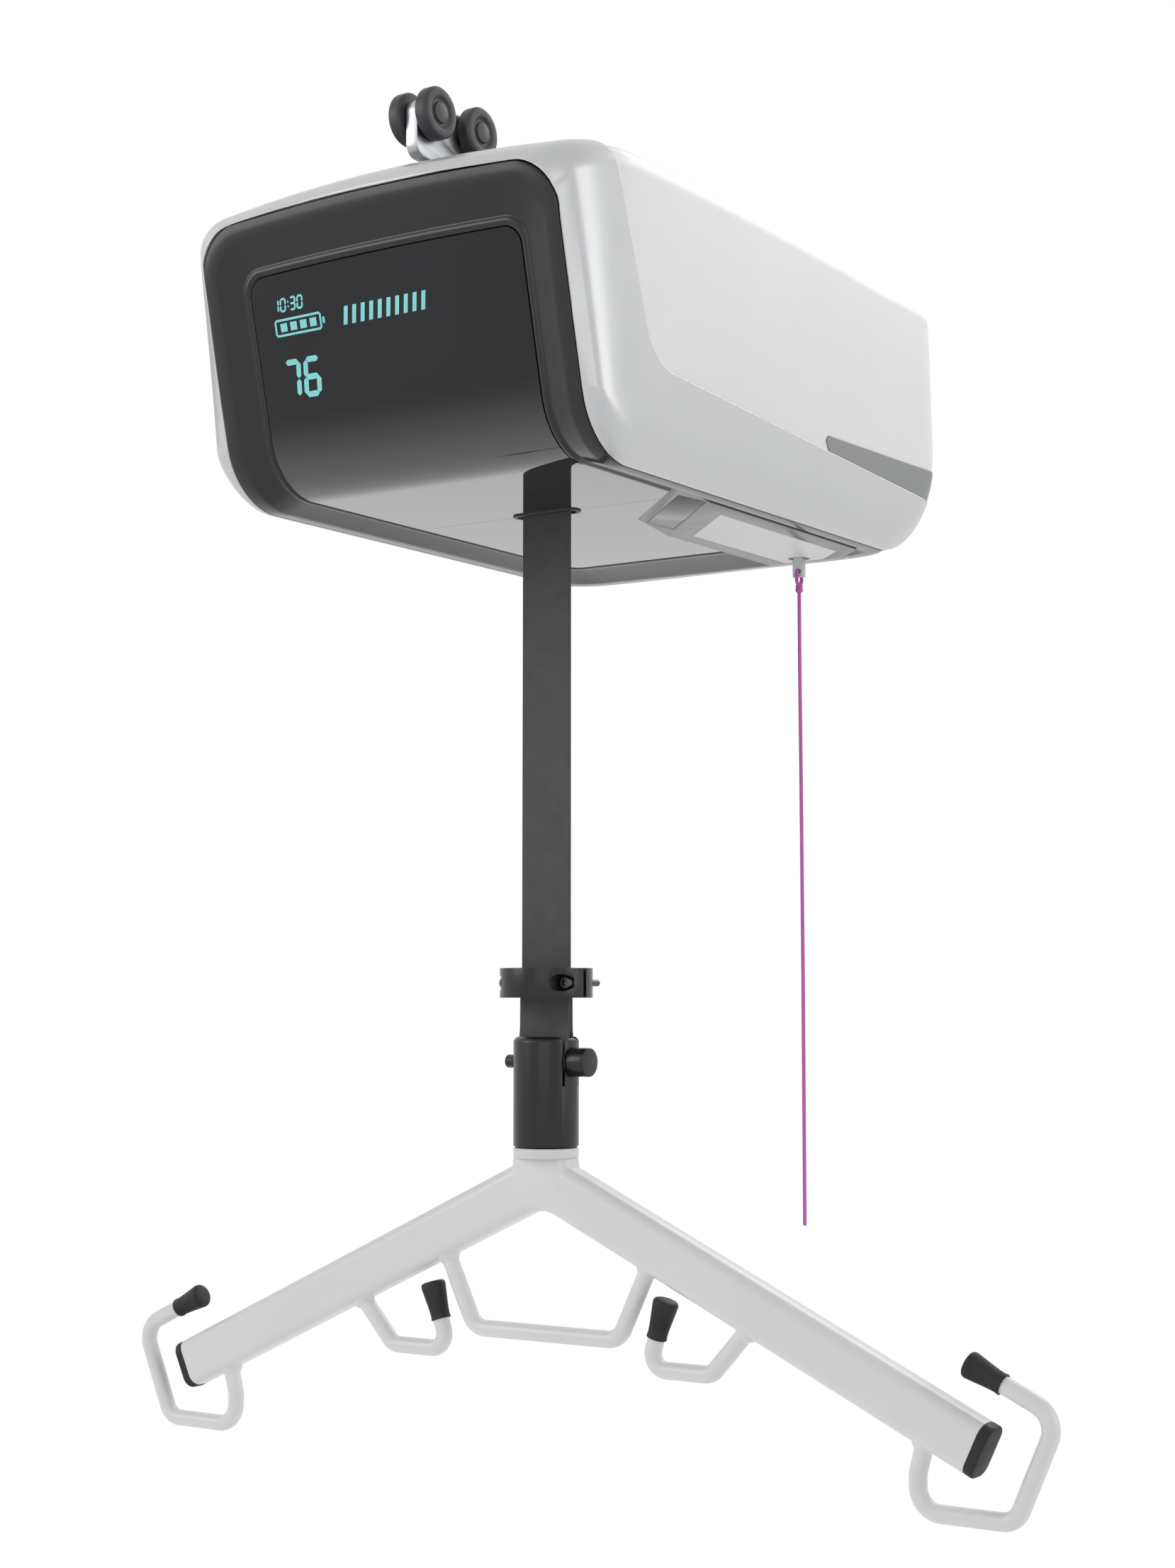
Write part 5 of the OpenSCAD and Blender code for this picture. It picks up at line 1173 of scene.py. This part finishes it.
def bar_arms():
    """Both arms as one rounded tube that bends under the hub."""
    c, s = cos(ARM_DROP), sin(ARM_DROP)
    bend = CROTCH_R + ARM_H / 2
    bend_z = ARM_Z - ARM_H / 2 / c - CROTCH_R / c
    reach = [mix(ARM_L, bend * tan(ARM_DROP), i / ARM_STEPS) for i in range(ARM_STEPS)]
    turns = [mix(-ARM_DROP, ARM_DROP, i / CROTCH_STEPS) for i in range(CROTCH_STEPS + 1)]
    stations = [(-d * c, ARM_Z - d * s, -ARM_DROP) for d in reach]
    stations += [(bend * sin(a), bend_z + bend * cos(a), a) for a in turns]
    stations += [(d * c, ARM_Z - d * s, ARM_DROP) for d in reversed(reach)]
    section = rounded(ARM_H, ARM_T, ARM_R)
    rings = [[Vector((x + h * sin(a), y, z + h * cos(a))) * MM for h, y in section] for x, z, a in stations]
    own(loft(rings), "bar_arms", WHITE_COAT, "arm_left", "arm_right")


def hub_seat():
    """The raised seat that the collar turns on, with a soft foot where it meets the arms."""
    rings = [[Vector((x, y, ARM_Z + rise)) * MM for x, y in rounded(w, h, r)] for w, h, r, rise in HUB_RINGS]
    own(loft(rings), "hub_seat", WHITE_COAT, "bar_hub")


def arm_depth(x):
    """How far an arm's underside lies below the place where the arms meet."""
    return x * tan(ARM_DROP) + ARM_H / 2 / cos(ARM_DROP)


def rod_points(shares):
    root = arm_depth(shares[0][0] * ARM_L)
    return [Vector((across * ARM_L, -root - down * ARM_L)) for across, down in shares]


def rod_line(path, radii):
    """Straight runs and arcs through a path, in the plane of the bar."""
    points = [path[0]]
    for i in range(1, len(path) - 1):
        come, go = (path[i] - path[i - 1]).normalized(), (path[i + 1] - path[i]).normalized()
        turn = atan2(come.x * go.y - come.y * go.x, come.dot(go))
        hand = 1 if turn > 0 else -1
        r = radii[i - 1]
        first = path[i] - come * r * tan(abs(turn) / 2)
        centre = first + Vector((-come.y, come.x)) * hand * r
        spoke = first - centre
        across = Vector((-spoke.y, spoke.x))
        for k in range(BEND_STEPS + 1):
            a = turn * k / BEND_STEPS
            points.append(centre + spoke * cos(a) + across * sin(a))
    points.append(path[-1])
    return points


def rooted(path):
    """A rod's path with its first point drawn back into the arm."""
    return [path[0] + (path[0] - path[1]).normalized() * ROD_ROOT] + path[1:]


def on_bar(point, side):
    return Vector((side * point.x, 0, ARM_Z + point.y))


def bent_rod(name, node, path, radii, side=1):
    line = [on_bar(p, side) for p in rod_line(path, radii)]
    own(swept(line, ROD_R, Vector((0, 1, 0))), name, WHITE_COAT, node)


def weld(name, node, path, side):
    """The bead where a rod enters the arm."""
    out = (path[1] - path[0]).normalized()
    bead = turned(WELD_PROFILE, on_bar(path[0], side), (side * out.x, 0, out.y), ROUND_SIDES)
    own(bead, name, WHITE_COAT, node, replaces=False)


def rubber_tip(path, side):
    """A flared tip with a rolled rim, a faint waist and a domed end."""
    out = (path[-1] - path[-2]).normalized()
    way = Vector((side * out.x, 0, out.y))
    return turned(TIP_PROFILE, on_bar(path[-1], side) - way * TIP_BORE, way, ROUND_SIDES)


def hooks_and_tips():
    half = rod_points(LOOP_SHARES)
    loop = half + [Vector((-p.x, p.y)) for p in reversed(half)]
    inner = rod_points(INNER_SHARES)
    inner.append(inner[-1] + Vector((INNER_RISE * tan(INNER_LEAN), INNER_RISE)))
    outer = rod_points(OUTER_SHARES)
    outer.insert(1, outer[1] + Vector((0, OUTER_START)))
    outer.append(outer[-1] + Vector((-OUTER_BACK, OUTER_BACK * tan(ARM_DROP))))
    bent_rod("centre_loop_rod", "centre_loop", rooted(rooted(loop)[::-1])[::-1], LOOP_BENDS)
    tips = []
    for side, word in ((1, "right"), (-1, "left")):
        bent_rod("outer_rod_" + word, "outer_hook_" + word, rooted(outer), OUTER_BENDS, side)
        bent_rod("inner_rod_" + word, "inner_hook_" + word, rooted(inner), INNER_BENDS, side)
        for part, path in (("outer", outer), ("inner", inner)):
            weld(f"{part}_weld_{word}", f"{part}_hook_{word}", path, side)
            tips.append(rubber_tip(path, side))
        weld("loop_weld_" + word, "centre_loop", loop, side)
    own(joined(tips), "rubber_tips", RUBBER, "hook_tips")


bar_arms()
hub_seat()
hooks_and_tips()
eased("end_caps", "arm_caps", RUBBER, 1.6, 4)

# Emergency pull, in millimetres

PULL = Vector((65, 196, 0))
CORD_R = 1.2
CORD_ROUTE = [
    (65, 196, -221), (65, 196, -235), (65, 196, -260), (65.1, 196, -290), (65.3, 195.9, -320),
    (65.5, 195.8, -350), (65.7, 195.6, -380), (65.9, 195.4, -410), (66.1, 195.2, -440), (66.3, 195, -470),
    (66.4, 194.8, -500), (66.5, 194.6, -530), (66.6, 194.4, -560), (66.7, 194.2, -590), (66.8, 194, -630),
]
# The tied loop hangs in the rod's eye
LOOP_TOP_Z = -206.4
LOOP_LOW_Z = -216
LOOP_HALF_W = 3.4
LOOP_STEPS = 48
KNOT_PROFILE = [(1.1, 0), (1.9, 0.3), (2.45, 1.2), (2.5, 2.2), (2.2, 3), (2.35, 3.6), (2.3, 4.8), (1.7, 5.8),
                (0.6, 6.2)]
SPRING_R = 4.5
SPRING_LOW_Z = BOTTOM_Z + 9.5
SPRING_L = 12
SPRING_TURNS = 4
SPRING_STEPS = 120
WIRE_R = 0.5


def pull_loop():
    """The loop through the eye, with the knot that ties it to the cord."""
    line = []
    for i in range(LOOP_STEPS):
        a = 2 * pi * i / LOOP_STEPS
        line.append(PULL + Vector((0, LOOP_HALF_W * cos(a), mix(LOOP_LOW_Z, LOOP_TOP_Z, (1 + sin(a)) / 2))))
    loop = swept(line, CORD_R, Vector((1, 0, 0)), 16, ends=False)
    knot = turned(KNOT_PROFILE, CORD_ROUTE[0], (0, 0, 1), 24)
    own(joined([loop, knot]), "cord_loop", CORD, "pull_loop")


def pull_spring():
    line = []
    for s in [i / SPRING_STEPS for i in range(SPRING_STEPS + 1)]:
        a = 2 * pi * SPRING_TURNS * s
        line.append(PULL + Vector((SPRING_R * cos(a), SPRING_R * sin(a), SPRING_LOW_Z + SPRING_L * s)))
    spring = own(swept(line, WIRE_R, Vector((0, 0, 1)), 12), "return_spring", STEEL, "pull_spring")
    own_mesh(spring)


def pull_cord():
    line = [Vector(p) for p in CORD_ROUTE]
    cord = swept(line, CORD_R, Vector((0, 1, 0)), 16)
    own(cord, "emergency_cord", CORD, "pull_cord")


eased("pull_rod", "pull_eyelet", CLEAR, 0.4)
pull_spring()
pull_loop()
pull_cord()

# Trolleys and what sits inside

for end in ("front", "rear"):
    eased(end + "_trolley", end + "_carriage", STEEL, 0.8)
    eased(end + "_swivel_nut", end + "_stem_nut", STEEL, 0.8)
    for axle in "ab":
        eased(f"{end}_wheelset_{axle}", f"{end}_wheels_{axle}_turned", NYLON, 0.5)
